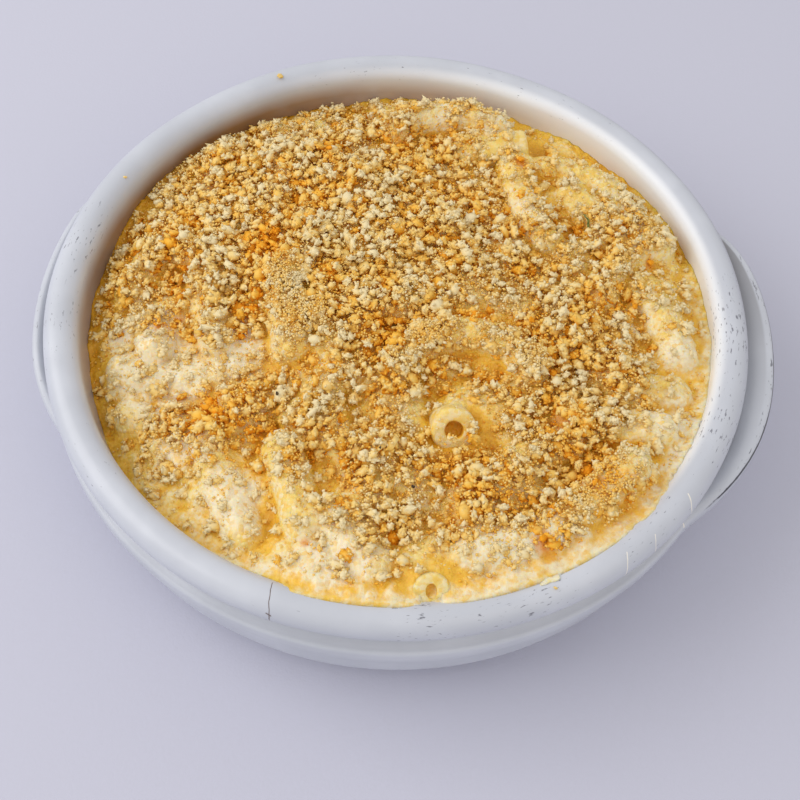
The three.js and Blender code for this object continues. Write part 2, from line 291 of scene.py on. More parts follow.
def make_piece(
    name: str,
    points: Array,
    polygons: Sequence[Array],
    material: bpy.types.Material,
    smooth: bool = True,
    **attributes: Array,
) -> Piece:
    """Make one mesh object of the part.

    Args:
        name: The piece's name.
        points: One row of x, y and z in millimetres for each vertex.
        polygons: Arrays of faces, each with one row of vertex numbers for each face.
        material: What the piece is dressed in.
        smooth: Whether its faces shade smoothly.
        **attributes: One number for each vertex, by attribute name, for the material to read.

    Returns:
        The new object, linked to the scene.
    """
    mesh = bpy.data.meshes.new(name)
    corners = np.concatenate([faces.ravel() for faces in polygons]).astype(np.int32)
    sides = np.concatenate([np.full(len(faces), faces.shape[1]) for faces in polygons])
    starts = np.concatenate([[0], np.cumsum(sides)[:-1]]).astype(np.int32)
    mesh.vertices.add(len(points))
    mesh.vertices.foreach_set("co", (points * MM).astype(np.float32).ravel())
    mesh.loops.add(len(corners))
    mesh.loops.foreach_set("vertex_index", corners)
    mesh.polygons.add(len(starts))
    mesh.polygons.foreach_set("loop_start", starts)
    mesh.update(calc_edges=True)
    mesh.validate()
    if smooth:
        mesh.shade_smooth()
    for attribute, values in attributes.items():
        layer = mesh.attributes.new(attribute, "FLOAT", "POINT")
        layer.data.foreach_set("value", values.astype(np.float32).ravel())
    mesh.materials.append(material)
    piece = bpy.data.objects.new(name, mesh)
    bpy.context.scene.collection.objects.link(piece)
    return piece


def settle(piece: Piece, slot: str, *nodes: str) -> None:
    """Fix a finished piece to the frame and report it.

    Args:
        piece: The finished piece.
        slot: The record's material slot; not used.
        *nodes: The solids that it stands for.
    """
    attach(piece, "root")
    if nodes:
        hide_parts(*nodes)
    log.info("%s: %d vertices, %d faces", piece.name, len(piece.data.vertices), len(piece.data.polygons))


def quads_between(rows: int, columns: int) -> Array:
    """Faces of a tube-like grid that closes on itself along its columns.

    Args:
        rows: How many rings of vertices there are.
        columns: How many vertices a ring has.

    Returns:
        One row of four vertex numbers for each face.
    """
    row, column = np.meshgrid(np.arange(rows - 1), np.arange(columns), indexing="ij")
    after = (column + 1) % columns
    here = row * columns
    there = here + columns
    return np.stack([here + column, here + after, there + after, there + column], axis=-1).reshape(-1, 4)


def fan(centre: int, ring: Array) -> Array:
    """Triangles from one vertex to each edge of a closed ring of vertices."""
    return np.stack([np.full(len(ring), centre), ring, np.roll(ring, -1)], axis=-1)


def capped(rings: Sequence[Array]) -> tuple[Array, list[Array]]:
    """Close a tube with a fan at each end.

    Args:
        rings: The points of each ring, all of one count.

    Returns:
        All of the tube's points, and its faces as quads and triangles.
    """
    sides = len(rings[0])
    count = len(rings) * sides
    ring = np.arange(sides)
    points = np.concatenate([*rings, [rings[0].mean(axis=0)], [rings[-1].mean(axis=0)]])
    ends = np.concatenate([fan(count, ring[::-1]), fan(count + 1, count - sides + ring)])
    return points, [quads_between(len(rings), sides), ends]


def ball(subdivisions: int) -> tuple[Array, Array]:
    """A ball one unit across: an octahedron, or an icosphere if it is subdivided.

    Args:
        subdivisions: How finely the icosphere is divided, or 0 for the octahedron.

    Returns:
        Its points and its triangles.
    """
    if subdivisions == 0:
        points = 0.5 * np.array([[1, 0, 0], [0, 1, 0], [-1, 0, 0], [0, -1, 0], [0, 0, 1], [0, 0, -1]])
        around = np.arange(4)
        return points, np.concatenate([fan(4, around), fan(5, around[::-1])])
    sphere = bmesh.new()
    bmesh.ops.create_icosphere(sphere, subdivisions=subdivisions, radius=0.5)
    sphere.verts.ensure_lookup_table()
    points = np.array([vertex.co[:] for vertex in sphere.verts])
    faces = np.array([[vertex.index for vertex in face.verts] for face in sphere.faces])
    sphere.free()
    return points, faces


UNEVEN = (0.85, 1.3)
BREAKS = 6
BREAK_DEPTH = (0.24, 0.46)
TORN_LENGTH = 1.1
TORN_WIDTH_AND_HEIGHT = ((0.6, 1.0), (0.5, 0.8))


def torn(unit: Array, draw: np.random.Generator, thin: float = 1.0) -> Array:
    """Break a ball down to one rough torn crumb with flat breaks and corners.

    Args:
        unit: The ball's points.
        draw: Where the random numbers come from.
        thin: Below one for a sliver.

    Returns:
        The crumb's points.
    """
    points = unit * draw.uniform(*UNEVEN, len(unit))[:, None]
    for _ in range(BREAKS):
        towards = draw.normal(size=3)
        towards /= np.linalg.norm(towards)
        over = np.maximum(points @ towards - draw.uniform(*BREAK_DEPTH), 0)
        points = points - over[:, None] * towards
    flat = np.array([TORN_LENGTH, *(thin * draw.uniform(*span) for span in TORN_WIDTH_AND_HEIGHT)])
    return points * flat @ np.linalg.qr(draw.normal(size=(3, 3)))[0]


# ---- finishes ------------------------------------------------------------------------------------


def per_mm(size: float) -> float:
    """The scale of a pattern whose lumps have a real size in millimetres."""
    return 1 / (size * MM)


def feed(tree: bpy.types.NodeTree, socket: Socket, value: Any) -> None:
    """Give an input socket a number, a vector, a hex colour or another node's output.

    Args:
        tree: The tree that the socket's node is in.
        socket: The socket to fill.
        value: What it takes.
    """
    if isinstance(value, Socket):
        tree.links.new(value, socket)
    else:
        socket.default_value = linear(value) if isinstance(value, str) else value


def add_node(
    tree: bpy.types.NodeTree,
    kind: str,
    inputs: Mapping[str | int, Any] | tuple = (),
    output: str | int = 0,
    **settings: Any,
) -> Socket | None:
    """Add one node with its settings, its values and its links.

    Args:
        tree: The tree that the node goes in.
        kind: Blender's name for the kind of node, without the words that all of them begin with.
        inputs: What each input socket takes, by name or number, or in order.
        output: Which of its outputs is wanted, by name or number.
        **settings: The node's own properties.

    Returns:
        That output, or nothing where the node has none.
    """
    node = tree.nodes.new("ShaderNode" + kind)
    for setting, value in settings.items():
        setattr(node, setting, value)
    for socket, value in (dict(enumerate(inputs)) if isinstance(inputs, tuple) else inputs).items():
        feed(tree, node.inputs[socket], value)
    return node.outputs[output] if node.outputs else None


@dataclass(frozen=True)
class Finish:
    """What every finish shares: a name and the surface's own constants."""

    name: str
    roughness: float
    ior: float

    def material(self) -> bpy.types.Material:
        """Build the material.

        Returns:
            The finished material.
        """
        coat = Coat(self)
        self.dress(coat)
        return coat.material

    def dress(self, coat: "Coat") -> None:
        """Give the material its colours, gloss and relief; each finish has its own way."""


class Coat:
    """One material while it is laid on: its nodes, its surface shader and the point that is shaded."""

    def __init__(self, finish: Finish) -> None:
        """Begin a material with one surface shader.

        Args:
            finish: The material's name and its surface's constants.
        """
        self.material = bpy.data.materials.new(finish.name)
        self.material.use_nodes = True
        self.tree = self.material.node_tree
        self.tree.nodes.clear()
        self.add = partial(add_node, self.tree)
        surface = self.add("BsdfPrincipled", {"Roughness": finish.roughness, "IOR": finish.ior})
        self.shader = surface.node
        self.add("OutputMaterial", {"Surface": surface}, is_active_output=True)
        self.place = self.add("TexCoord", output="Object")

    def set(self, socket: str, value: Any) -> None:
        """Give one of the surface shader's sockets a value or another node's output."""
        feed(self.tree, self.shader.inputs[socket], value)

    def where(
        self,
        low: float,
        high: float,
        size: float = 0.0,
        detail: float = 2.0,
        roughness: float = 0.5,
        swing: float = 1.0,
        **pulls: float,
    ) -> Socket:
        """Where something shows: cloudy patches of a real size, moved by what the mesh carries.

        Args:
            low: Sum of the clouds and the pulls at and below which nothing shows.
            high: Sum at and above which all of it shows.
            size: Size of the clouds' lumps in millimetres, or 0 for no clouds.
            detail: How many finer layers the clouds have.
            roughness: How strong those layers are.
            swing: How much the clouds count.
            **pulls: How much each number that the mesh carries counts, by its name.

        Returns:
            How much of it shows, from 0 to 1.
        """
        total: Any = 0.0
        if size:
            clouds = {"Vector": self.place, "Scale": per_mm(size), "Detail": detail, "Roughness": roughness}
            total = self.add("Math", (self.add("TexNoise", clouds), swing), operation="MULTIPLY")
        for name, pull in pulls.items():
            carried = self.add("Attribute", output="Fac", attribute_name=name)
            total = self.add("Math", (carried, pull, total), operation="MULTIPLY_ADD")
        return self.add("MapRange", (total, low, high), interpolation_type="SMOOTHSTEP")

    def lay(self, tone: Any, *layers: tuple[Any, Any]) -> Socket:
        """Lay colours over a first one, each where it shows.

        Args:
            tone: The lowest colour.
            *layers: How much of each further colour shows, and that colour, from the lowest up.

        Returns:
            The colour that comes of it.
        """
        for share, colour in layers:
            tone = self.add("Mix", {0: share, 6: tone, 7: colour}, 2, data_type="RGBA")
        return tone

    def roughen(self, size: float, depth: float, strength: float = 1.0) -> None:
        """Give the surface a fine relief of its own, from noise whose lumps have a real size.

        Args:
            size: Size of the lumps in millimetres.
            depth: Their height in millimetres.
            strength: How much of it shows.
        """
        lumps = self.add("TexNoise", {"Vector": self.place, "Scale": per_mm(size)})
        bent = {"Height": lumps, "Distance": depth * MM, "Strength": strength}
        self.set("Normal", self.add("Bump", bent))

    def granules(self, size: float) -> tuple[Socket, Socket]:
        """Packed grains with creases between them.

        Args:
            size: Grain size in millimetres.

        Returns:
            The grains' height, and a number from 0 to 1 that is the same all over one grain.
        """
        grains = self.add("TexVoronoi", {"Vector": self.place, "Scale": per_mm(size)}, "Distance").node
        height = self.add("Math", (1.0, grains.outputs["Distance"]), operation="SUBTRACT")
        return height, self.add("SeparateColor", (grains.outputs["Color"],), "Red")


@dataclass(frozen=True)
class Stroke:
    """A thin line on the glaze, straight in plan: its ends, width, wandering and lowest height."""

    start: Pair
    end: Pair
    width: float
    wander: float = 0.0
    lowest: float = 27.0


CRACK = (
    Stroke((-12.2, -68.4), (-11.7, -74.2), 0.14, 0.5),
    Stroke((-11.7, -74.2), (-11.2, -77.5), 0.17, 0.4, 26.0),
    Stroke((-12.3, -74.1), (-11.2, -74.4), 0.1, 0.3),
)

SCRATCHES = (
    Stroke((63.2, -36.4), (66.6, -42.0), 0.2, 0.5),
    Stroke((52.2, -51.0), (53.5, -56.0), 0.16, 0.4),
    Stroke((57.3, -46.2), (58.6, -49.6), 0.12, 0.4),
)


@dataclass(frozen=True)
class GlazedStoneware(Finish):
    """White tin glaze over stoneware, dipped and fired: a soft satin gloss with a cold white body.

    The right part of the inner wall is painted whiter as painted light, and the cove and the outer rim at
    the back are painted greyer as painted shade. Cutlery and other dishes leave grey metal dashes along
    the rim, and a dark line runs along the right ear's edge. On the inner wall above the food at the back
    left lies a warm brown that is partly sauce baked on in thin films and partly painted shade, and one
    hairline crack runs down over the rim at the front.
    """

    name: str = "glazed_stoneware"
    roughness: float = 0.26
    ior: float = 1.52
    glaze: str = "c1c5cf"
    bright_glaze: str = "cbcfd9"
    # Painted light: the inner wall's right part, which faces the window lamp, is painted whiter.
    painted_light_glaze: str = "eaeef5"
    # Painted shade: the cove and the outer rim at the back are painted greyer where they lie in shade.
    cove_and_back_shade: str = "544b46"
    metal_mark: str = "5a5a66"
    # A dark line along the right ear's edge.
    dark_edge_line: str = "3f3f46"
    # Partly sauce baked on in thin films and partly painted shade: a warm brown on the inner wall above the
    # food at the back left.
    baked_film_and_shade: str = "a07c52"
    crack: str = "6f6260"
    scratch: str = "f1ece2"
    dash: Pair = (1.9, 0.52)
    cloud_size: float = 14.0
    wave_size: float = 6.0
    wave_depth: float = 0.12
    smear_size: float = 3.0
    wander_size: float = 2.2
    rim_radius: float = 75.5

    def dress(self, coat: Coat) -> None:
        """Give the material its colours, gloss and relief.

        Args:
            coat: The material while it is laid on.
        """
        carried = ("painted_light", "cove", "film_and_shade", "dark_edge")
        painted_light, thin, filmed_and_shaded, dark_edge = (
            coat.add("Attribute", output="Fac", attribute_name=name) for name in carried
        )
        marks = self.metal_marks(coat)
        dark_line = coat.add("Math", (self.dashes(coat, 3.0), 0.9, dark_edge), operation="MULTIPLY_ADD")
        film_and_shade = coat.add("Math", (filmed_and_shaded, coat.where(0.0, 0.5, self.cloud_size, 3)), operation="MULTIPLY")
        tone = coat.lay(
            self.glaze,
            (coat.where(0.35, 0.75, self.cloud_size, 3), self.bright_glaze),
            # Painted light on the inner wall's right part.
            (painted_light, self.painted_light_glaze),
            # Painted shade in the cove and on the outer rim at the back.
            (coat.add("Math", (thin, 0.9), operation="MULTIPLY"), self.cove_and_back_shade),
            # Partly baked-on sauce and partly painted shade on the inner wall at the back left.
            (film_and_shade, self.baked_film_and_shade),
            (marks, self.metal_mark),
            # The dark line along the right ear's edge, broken up by the rub noise.
            (coat.add("MapRange", (dark_line, 0.85, 1.3), interpolation_type="SMOOTHSTEP"), self.dark_edge_line),
            *((self.line(coat, stroke), self.scratch) for stroke in SCRATCHES),
            *((self.line(coat, stroke), self.crack) for stroke in CRACK),
        )
        coat.set("Base Color", tone)
        coat.roughen(self.wave_size, self.wave_depth, 0.5)
        smears = coat.add("TexNoise", {"Vector": coat.place, "Scale": per_mm(self.smear_size)})
        dull = coat.add("Math", (marks, 0.25, self.roughness), operation="MULTIPLY_ADD")
        coat.set("Roughness", coat.add("Math", (smears, 0.12, dull), operation="MULTIPLY_ADD"))

    def dashes(self, coat: Coat, stretch: float = 1.0) -> Socket:
        """Noise drawn out along the rim, as things rub along it.

        Args:
            coat: The material that the noise goes in.
            stretch: How many times longer than usual the dashes are.

        Returns:
            The noise's value, from 0 to 1.
        """
        length, width = self.dash
        x, y, z = coat.add("SeparateXYZ", (coat.place,)).node.outputs
        turn = coat.add("Math", (y, x), operation="ARCTAN2")
        along = coat.add("Math", (turn, self.rim_radius / (length * stretch)), operation="MULTIPLY")
        radius = coat.add("VectorMath", (coat.add("CombineXYZ", (x, y)),), "Value", operation="LENGTH")
        out = coat.add("Math", (radius, per_mm(width)), operation="MULTIPLY")
        up = coat.add("Math", (z, per_mm(width)), operation="MULTIPLY")
        polar = coat.add("CombineXYZ", (along, out, up))
        return coat.add("TexNoise", {"Vector": polar, "Scale": 1.0, "Detail": 3.0, "Roughness": 0.6})

    def metal_marks(self, coat: Coat) -> Socket:
        """Grey specks and short rubs, thickest where the mesh says that the rim is scuffed.

        Args:
            coat: The material that the marks go in.

        Returns:
            How much of the mark's colour shows, from 0 to 1.
        """
        scuffed = coat.add("Attribute", output="Fac", attribute_name="scuff")
        threshold = coat.add("Math", (scuffed, -0.26, 0.835), operation="MULTIPLY_ADD")
        over = coat.add("Math", (self.dashes(coat), threshold), operation="SUBTRACT")
        share = coat.add("MapRange", (over, 0.0, 0.09), interpolation_type="SMOOTHSTEP")
        return coat.add("Math", (share, 0.78), operation="MULTIPLY")

    def line(self, coat: Coat, stroke: Stroke) -> Socket:
        """Draw a thin line on the glaze.

        Args:
            coat: The material that the line goes in.
            stroke: Which line.

        Returns:
            One on the line and 0 off it.
        """
        start = Vector((*stroke.start, 0)) * MM
        run = Vector((*stroke.end, 0)) * MM - start
        ahead = run.normalized()
        across = Vector((-ahead.y, ahead.x, 0))
        away = coat.add("VectorMath", (coat.place, start), operation="SUBTRACT")
        along, side = (
            coat.add("VectorMath", (away, axis), "Value", operation="DOT_PRODUCT") for axis in (ahead, across)
        )
        waves = coat.add("TexNoise", {"Vector": coat.place, "Scale": per_mm(self.wander_size)})
        wave = coat.add("Math", (waves, 0.5), operation="SUBTRACT")
        side = coat.add("Math", (wave, stroke.wander * MM, side), operation="MULTIPLY_ADD")
        side = coat.add("Math", (side,), operation="ABSOLUTE")
        width = stroke.width * MM
        thin = coat.add("MapRange", (side, width, 0.3 * width), interpolation_type="SMOOTHSTEP")
        within = coat.add("Math", (along, run.length / 2, run.length / 2), operation="COMPARE")
        height = coat.add("SeparateXYZ", (coat.place,), "Z")
        high = coat.add("Math", (height, stroke.lowest * MM), operation="GREATER_THAN")
        on_line = coat.add("Math", (thin, within), operation="MULTIPLY")
        return coat.add("Math", (on_line, high), operation="MULTIPLY")


@dataclass(frozen=True)
class CheeseSauce(Finish):
    """Baked cheese sauce over soft pasta: a moist, slightly translucent cream that light sinks into.

    It is whitest where it lies thick and smooth and yellow where pasta shines through. In the hollows
    between the elbows it turns to deep amber, partly oil and partly painted shade; the open elbows' bores
    and the food's left edge take painted shade as well. Toasted dust clings to it as fine golden grains.
    Light sinks in everywhere but in the bores, whose walls are too thin for it.
    """

    name: str = "baked_cheese_sauce"
    roughness: float = 0.4
    ior: float = 1.42
    cream: str = "efe4c4"
    body: str = "ebd68a"
    yellow: str = "e7c65c"
    # The next two tones lie in the hollows, partly oil and partly painted shade; the bore tone is painted
    # shade down the open elbows' bores.
    oily: str = "f0c044"
    hollow: str = "e0a422"
    bore: str = "b47e0a"
    toasted: str = "e0901a"
    dust: str = "f4d276"
    crust: tuple[str, str] = ("eeb038", "f8da8e")
    pasta_size: float = 4.2
    cream_size: float = 2.8
    oil_size: float = 2.3
    browned_size: float = 1.6
    fleck_size: float = 1.2
    curd_size: float = 1.1
    grain_size: float = 0.75
    granule_size: float = 0.85
    curd_depth: float = 0.5
    sink_depth: float = 1.5
    sink_colour: Triple = (1.0, 0.8, 0.36)

    def dress(self, coat: Coat) -> None:
        """Give the material its colours, gloss and relief.

        Args:
            coat: The material while it is laid on.
        """
        height, which = coat.granules(self.granule_size)
        pale = coat.add("MapRange", (which, 0.6, 1.0), interpolation_type="SMOOTHSTEP")
        dark = coat.add("MapRange", (which, 0.4, 0.0), interpolation_type="SMOOTHSTEP")
        crumbs = coat.lay(self.crust[0], (coat.where(0.35, 0.65, self.fleck_size, 3, 0.6), self.crust[1]))
        # Oil and painted shade in the hollows, along the left edge and down the bores.
        oil = {"size": self.oil_size, "detail": 3, "roughness": 0.65, "swing": 0.95}
        oil |= {"hollow": 1.0, "cream": -0.22}
        tone = coat.lay(
            self.body,
            (coat.where(0.38, 0.62, self.pasta_size, 4, 0.6), self.yellow),
            (coat.where(0.5, 1.2, self.cream_size, 3, 0.6, 1.1, cream=1.0), self.cream),
            (coat.where(0.55, 1.0, self.grain_size, 2, 0.6, dust=0.3), self.dust),
            (coat.add("Math", (pale, 0.6), operation="MULTIPLY"), self.cream),
            (coat.add("Math", (dark, 0.55), operation="MULTIPLY"), self.oily),
            (coat.where(0.45, 0.85, self.grain_size, 2, 0.6, 0.5, crust=1.0), crumbs),
            (coat.where(0.5, 0.95, **oil), self.oily),
            (coat.where(0.95, 1.45, **oil), self.hollow),
            (coat.where(1.25, 1.6, hollow=1.0), self.bore),
            (coat.where(0.75, 1.5, self.browned_size, 3, swing=0.6, toast=1.0), self.toasted),
        )
        coat.set("Base Color", tone)
        sinking = coat.add("Math", (coat.where(1.2, 0.4, hollow=1.0), 0.6), operation="MULTIPLY")
        coat.set("Subsurface Weight", sinking)
        coat.set("Subsurface Radius", self.sink_colour)
        coat.set("Subsurface Scale", self.sink_depth * MM)
        curds = {"Vector": coat.place, "Scale": per_mm(self.curd_size), "Detail": 3.0, "Roughness": 0.6}
        dusty = coat.add("Attribute", output="Fac", attribute_name="dust")
        clinging = coat.add("Math", (dusty, height), operation="MULTIPLY")
        rough = coat.add("Math", (clinging, 1.1, coat.add("TexNoise", curds)), operation="MULTIPLY_ADD")
        bent = {"Height": rough, "Distance": self.curd_depth * MM, "Strength": 0.65}
        coat.set("Normal", coat.add("Bump", bent))


@dataclass(frozen=True)
class ToastedCrumb(Finish):
    """Dry white-bread flakes, torn and fried in butter: matt and porous, with hardly any gloss.

    Each flake's toast number is painted cream on its top and deep gold on its lower side and down in the
    pile: partly toasting in the butter and partly painted shade, so that shadows read as saturated gold
    and not as grey.
    """

    name: str = "toasted_bread_flakes"
    roughness: float = 0.62
    ior: float = 1.4
    gloss: float = 0.25
    tones: tuple[tuple[float, str], ...] = (
        (0.0, "eddcaf"),
        (0.25, "f1d38a"),
        (0.5, "f2c766"),
        (0.75, "f4b83e"),
        (1.0, "f0a01e"),
    )
    mottle_size: float = 1.1
    granule_size: float = 0.75
    pore_size: float = 0.4
    pore_depth: float = 0.1

    def dress(self, coat: Coat) -> None:
        """Give the material its colours, gloss and relief.

        Args:
            coat: The material while it is laid on.
        """
        mottle = coat.add("TexNoise", {"Vector": coat.place, "Scale": per_mm(self.mottle_size)})
        toast = coat.add("Attribute", output="Fac", attribute_name="toast")
        toast = coat.add("Math", (mottle, 0.3, toast), operation="MULTIPLY_ADD")
        toast = coat.add("Math", (coat.granules(self.granule_size)[1], 0.14, toast), operation="MULTIPLY_ADD")
        toast = coat.add("Math", (toast, 0.22), operation="SUBTRACT")
        tone = coat.add("ValToRGB", (toast,))
        stops = tone.node.color_ramp.elements
        while len(stops) < len(self.tones):
            stops.new(0.5)
        for stop, (position, colour) in zip(stops, self.tones):
            stop.position = position
            stop.color = linear(colour)
        coat.set("Base Color", tone)
        coat.set("Specular IOR Level", self.gloss)
        coat.roughen(self.pore_size, self.pore_depth, 0.6)


@dataclass(frozen=True)
class PepperSkin(Finish):
    """Cracked black pepper: near-black brown skin, rough and dry, so that it reads as a dark speck."""

    name: str = "cracked_black_pepper"
    roughness: float = 0.7
    ior: float = 1.45
    skin: str = "3a2a1c"
    core: str = "7a6446"
    patch_size: float = 0.4
    patch_depth: float = 0.05

    def dress(self, coat: Coat) -> None:
        """Give the material its colours, gloss and relief.

        Args:
            coat: The material while it is laid on.
        """
        patches = coat.where(0.5, 0.7, self.patch_size)
        coat.set("Base Color", coat.lay(self.skin, (patches, self.core)))
        bent = {"Height": patches, "Distance": self.patch_depth * MM, "Strength": 1.0}
        coat.set("Normal", coat.add("Bump", bent))


@dataclass(frozen=True)
class HerbLeaf(Finish):
    """A shred of chopped herb, baked limp: dull olive green with a slight moist sheen."""

    name: str = "baked_herb_shred"
    roughness: float = 0.45
    ior: float = 1.4
    green: str = "76803c"
    dark: str = "4e5a26"
    vein_size: float = 0.5
    vein_depth: float = 0.04

    def dress(self, coat: Coat) -> None:
        """Give the material its colours, gloss and relief."""
        coat.set("Base Color", coat.lay(self.green, (coat.where(0.4, 0.65, self.vein_size), self.dark)))
        coat.roughen(self.vein_size, self.vein_depth)


@dataclass(frozen=True)
class PaleCloth(Finish):
    """The stage under the dish: a plain pale cloth-like floor that takes a soft shadow."""

    name: str = "pale_floor"
    roughness: float = 0.9
    ior: float = 1.45
    colour: str = "c5c6d6"
    weave_size: float = 0.7
    weave_depth: float = 0.15

    def dress(self, coat: Coat) -> None:
        """Give the material its colours, gloss and relief."""
        coat.set("Base Color", self.colour)
        coat.roughen(self.weave_size, self.weave_depth, 0.25)


# ---- dish ----------------------------------------------------------------------------------------


@dataclass(frozen=True)
class ScuffedStretch:
    """A stretch of the rim where metal has rubbed the glaze."""

    clock: float
    spread: float
    amount: float


@dataclass(frozen=True)
class Ear:
    """One ear: its middle, the angles over which the ledge swells and lifts into it, and its shape."""

    middle: float
    half_angle: float
    lift_angle: float
    reach: float
    bluntness: float
    shoulder: float = 1.2


@dataclass
class GratinDish:
    """The dish: a turned body with a rolled rim, a cove, a ledge and two ears drawn out of the ledge."""

    height: float = 37.0
    rim_radius: float = 75.5
    roll_radius: float = 3.6
    roll_start: float = math.radians(-32)
    ledge_radius: float = 75.6
    ledge_top_z: float = 25.6
    ledge_bottom_z: float = 21.2
    ledge_edge: float = 0.9
    wall_radius: float = 74.4
    haunch_z: float = 13.5
    haunch_radius: float = 73.6
    base_radius: float = 57.0
    floor_z: float = 6.5
    floor_radius: float = 52.0
    inner_wall_z: float = 26.9
    inner_wall_radius: float = 67.9
    inner_haunch_z: float = 19.0
    inner_haunch_radius: float = 66.2
    ears: tuple[Ear, ...] = (Ear(2.5, 33, 45, 81.8, 3), Ear(184.5, 27, 36, 78.5, 5))
    ear_top_z: float = 31.6
    ear_bottom_z: float = 26.8
    ear_edge: float = 1.1
    lift_quickness: float = 1.6
    plain_cove: tuple[Pair, ...] = ((72.3, 26.3), (72.1, 27.9), (74.0, 29.9))
    eared_cove: tuple[Pair, ...] = ((76.6, 31.9), (74.4, 28.4), (74.5, 30.6))
    cove_inset: float = 2.0
    columns: int = 256
    base_rows: tuple[float, ...] = (18, 34, 47)
    haunch_steps: int = 16
    lower_wall_shares: tuple[float, ...] = (0.3, 0.65)
    ledge_rows: int = 4
    lower_edge_rows: int = 5
    upper_edge_rows: int = 6
    cove_rows: int = 23
    roll_steps: int = 36
    inner_wall_rows: int = 9
    bowl_steps: int = 12
    floor_rows: tuple[float, ...] = (36, 18)
    waver: float = 0.12
    waver_inwards: float = 1.2
    waver_down: float = 0.5
    waves: tuple[tuple[int, float, float], ...] = ((2, 1.0, 0.7), (5, 0.6, 2.0), (11, 0.35, 0.0))
    scuffs: tuple[ScuffedStretch, ...] = table(
        ScuffedStretch,
        (178, 12, 0.9), (195, 14, 0.8), (224, 14, 0.6), (264, 12, 0.5), (284, 9, 0.9), (300, 14, 0.9),
        (321, 12, 0.8), (345, 16, 0.9), (5, 16, 1.0), (70, 30, 0.6), (105, 20, 0.6),
    )
    crest_rub: float = 0.25
    edge_rub: Pair = (0.9, 0.3)
    ear_swell: float = 3.0
    # Painted shade in the cove: where it is deepest, how far it reaches, how much darker on the right, and
    # past which row it stops.
    cove_deepest: float = 0.72
    cove_reach: float = 0.3
    cove_swing: float = 0.25
    cove_past: int = 4
    # Rows of the inner wall that take the baked-on sauce with its painted shade, and the painted light.
    film_and_shade_rows: int = 6
    painted_light_rows: int = 14
    # Where the baked-on sauce and its painted shade lie: round the back left, above the food.
    film_and_shade_clock: float = 145.0
    film_and_shade_spread: float = 62.0
    film_and_shade_height: Pair = (3.2, 4.0)
    # Painted shade on the outer side of the rim at the back right, which faces away from the window lamp.
    back_shade_clock: float = 58.0
    back_shade_spread: float = 52.0
    back_shade_amount: float = 0.7
    back_shade_band: Pair = (1.9, 1.7)
    # Painted light on the inner wall's right part: how far in it starts and how it spreads round.
    painted_light_inset: Pair = (5.0, 2.0)
    painted_light_turn: float = 0.5
    painted_light_spread: float = 0.3
    rows: list[tuple[Array, Array]] = field(default_factory=list)

    def wall_radius_at(self, z: Array) -> Array:
        """Radius of the inner wall and of the inside of the rolled rim.

        Args:
            z: Heights above the haunch.

        Returns:
            One radius for each height.
        """
        roll_z = self.height - self.roll_radius
        heights = [self.inner_haunch_z, self.inner_wall_z, roll_z]
        radii = [self.inner_haunch_radius, self.inner_wall_radius, self.rim_radius - 2 * self.roll_radius]
        over = np.clip(np.asarray(z) - roll_z, 0, self.roll_radius)
        return np.interp(z, heights, radii) + self.roll_radius - np.sqrt(self.roll_radius**2 - over**2)

    def roll_top_at(self, radius: Array) -> Array:
        """Height of the rolled rim's top at radii across the rim."""
        across = np.minimum(np.abs(radius - self.rim_radius + self.roll_radius), self.roll_radius)
        return self.height - self.roll_radius + np.sqrt(self.roll_radius**2 - across**2)

    def ear_at(self, angle: Array) -> tuple[Array, Array]:
        """How the ledge is drawn out and lifted into the ears.

        Args:
            angle: Angles round the dish.

        Returns:
            The ledge's outer radius, and how far it is lifted from 0 to 1, at each angle.
        """
        reach = np.full_like(angle, self.ledge_radius)
        lift = np.zeros_like(angle)
        for ear in self.ears:
            away = np.abs(degrees_from(np.degrees(angle), ear.middle))
            swell = (1 - np.minimum(away / ear.half_angle, 1) ** ear.bluntness) ** ear.shoulder
            reach = np.maximum(reach, blend(self.ledge_radius, ear.reach, swell))
            lift = np.maximum(lift, ease(self.lift_quickness * (1 - away / ear.lift_angle)))
        return reach, lift

    def add_arc(self, centre: tuple, radii: tuple, angles: Pair, steps: int) -> None:
        """Add rows along an arc of the profile.

        Args:
            centre: The arc's centre, as radius and height.
            radii: The arc's radii outwards and upwards.
            angles: Where the arc starts and ends.
            steps: How many rows it takes after its first.
        """
        for angle in np.linspace(*angles, steps + 1):
            radius = centre[0] + radii[0] * math.cos(angle)
            height = centre[1] + radii[1] * math.sin(angle)
            self.add_row(radius, height)

    def add_row(self, radius: Array | float, height: Array | float) -> None:
        """Add one row of the profile, the same all round or one value for each column."""
        ones = np.ones(self.columns)
        self.rows.append((radius * ones, height * ones))

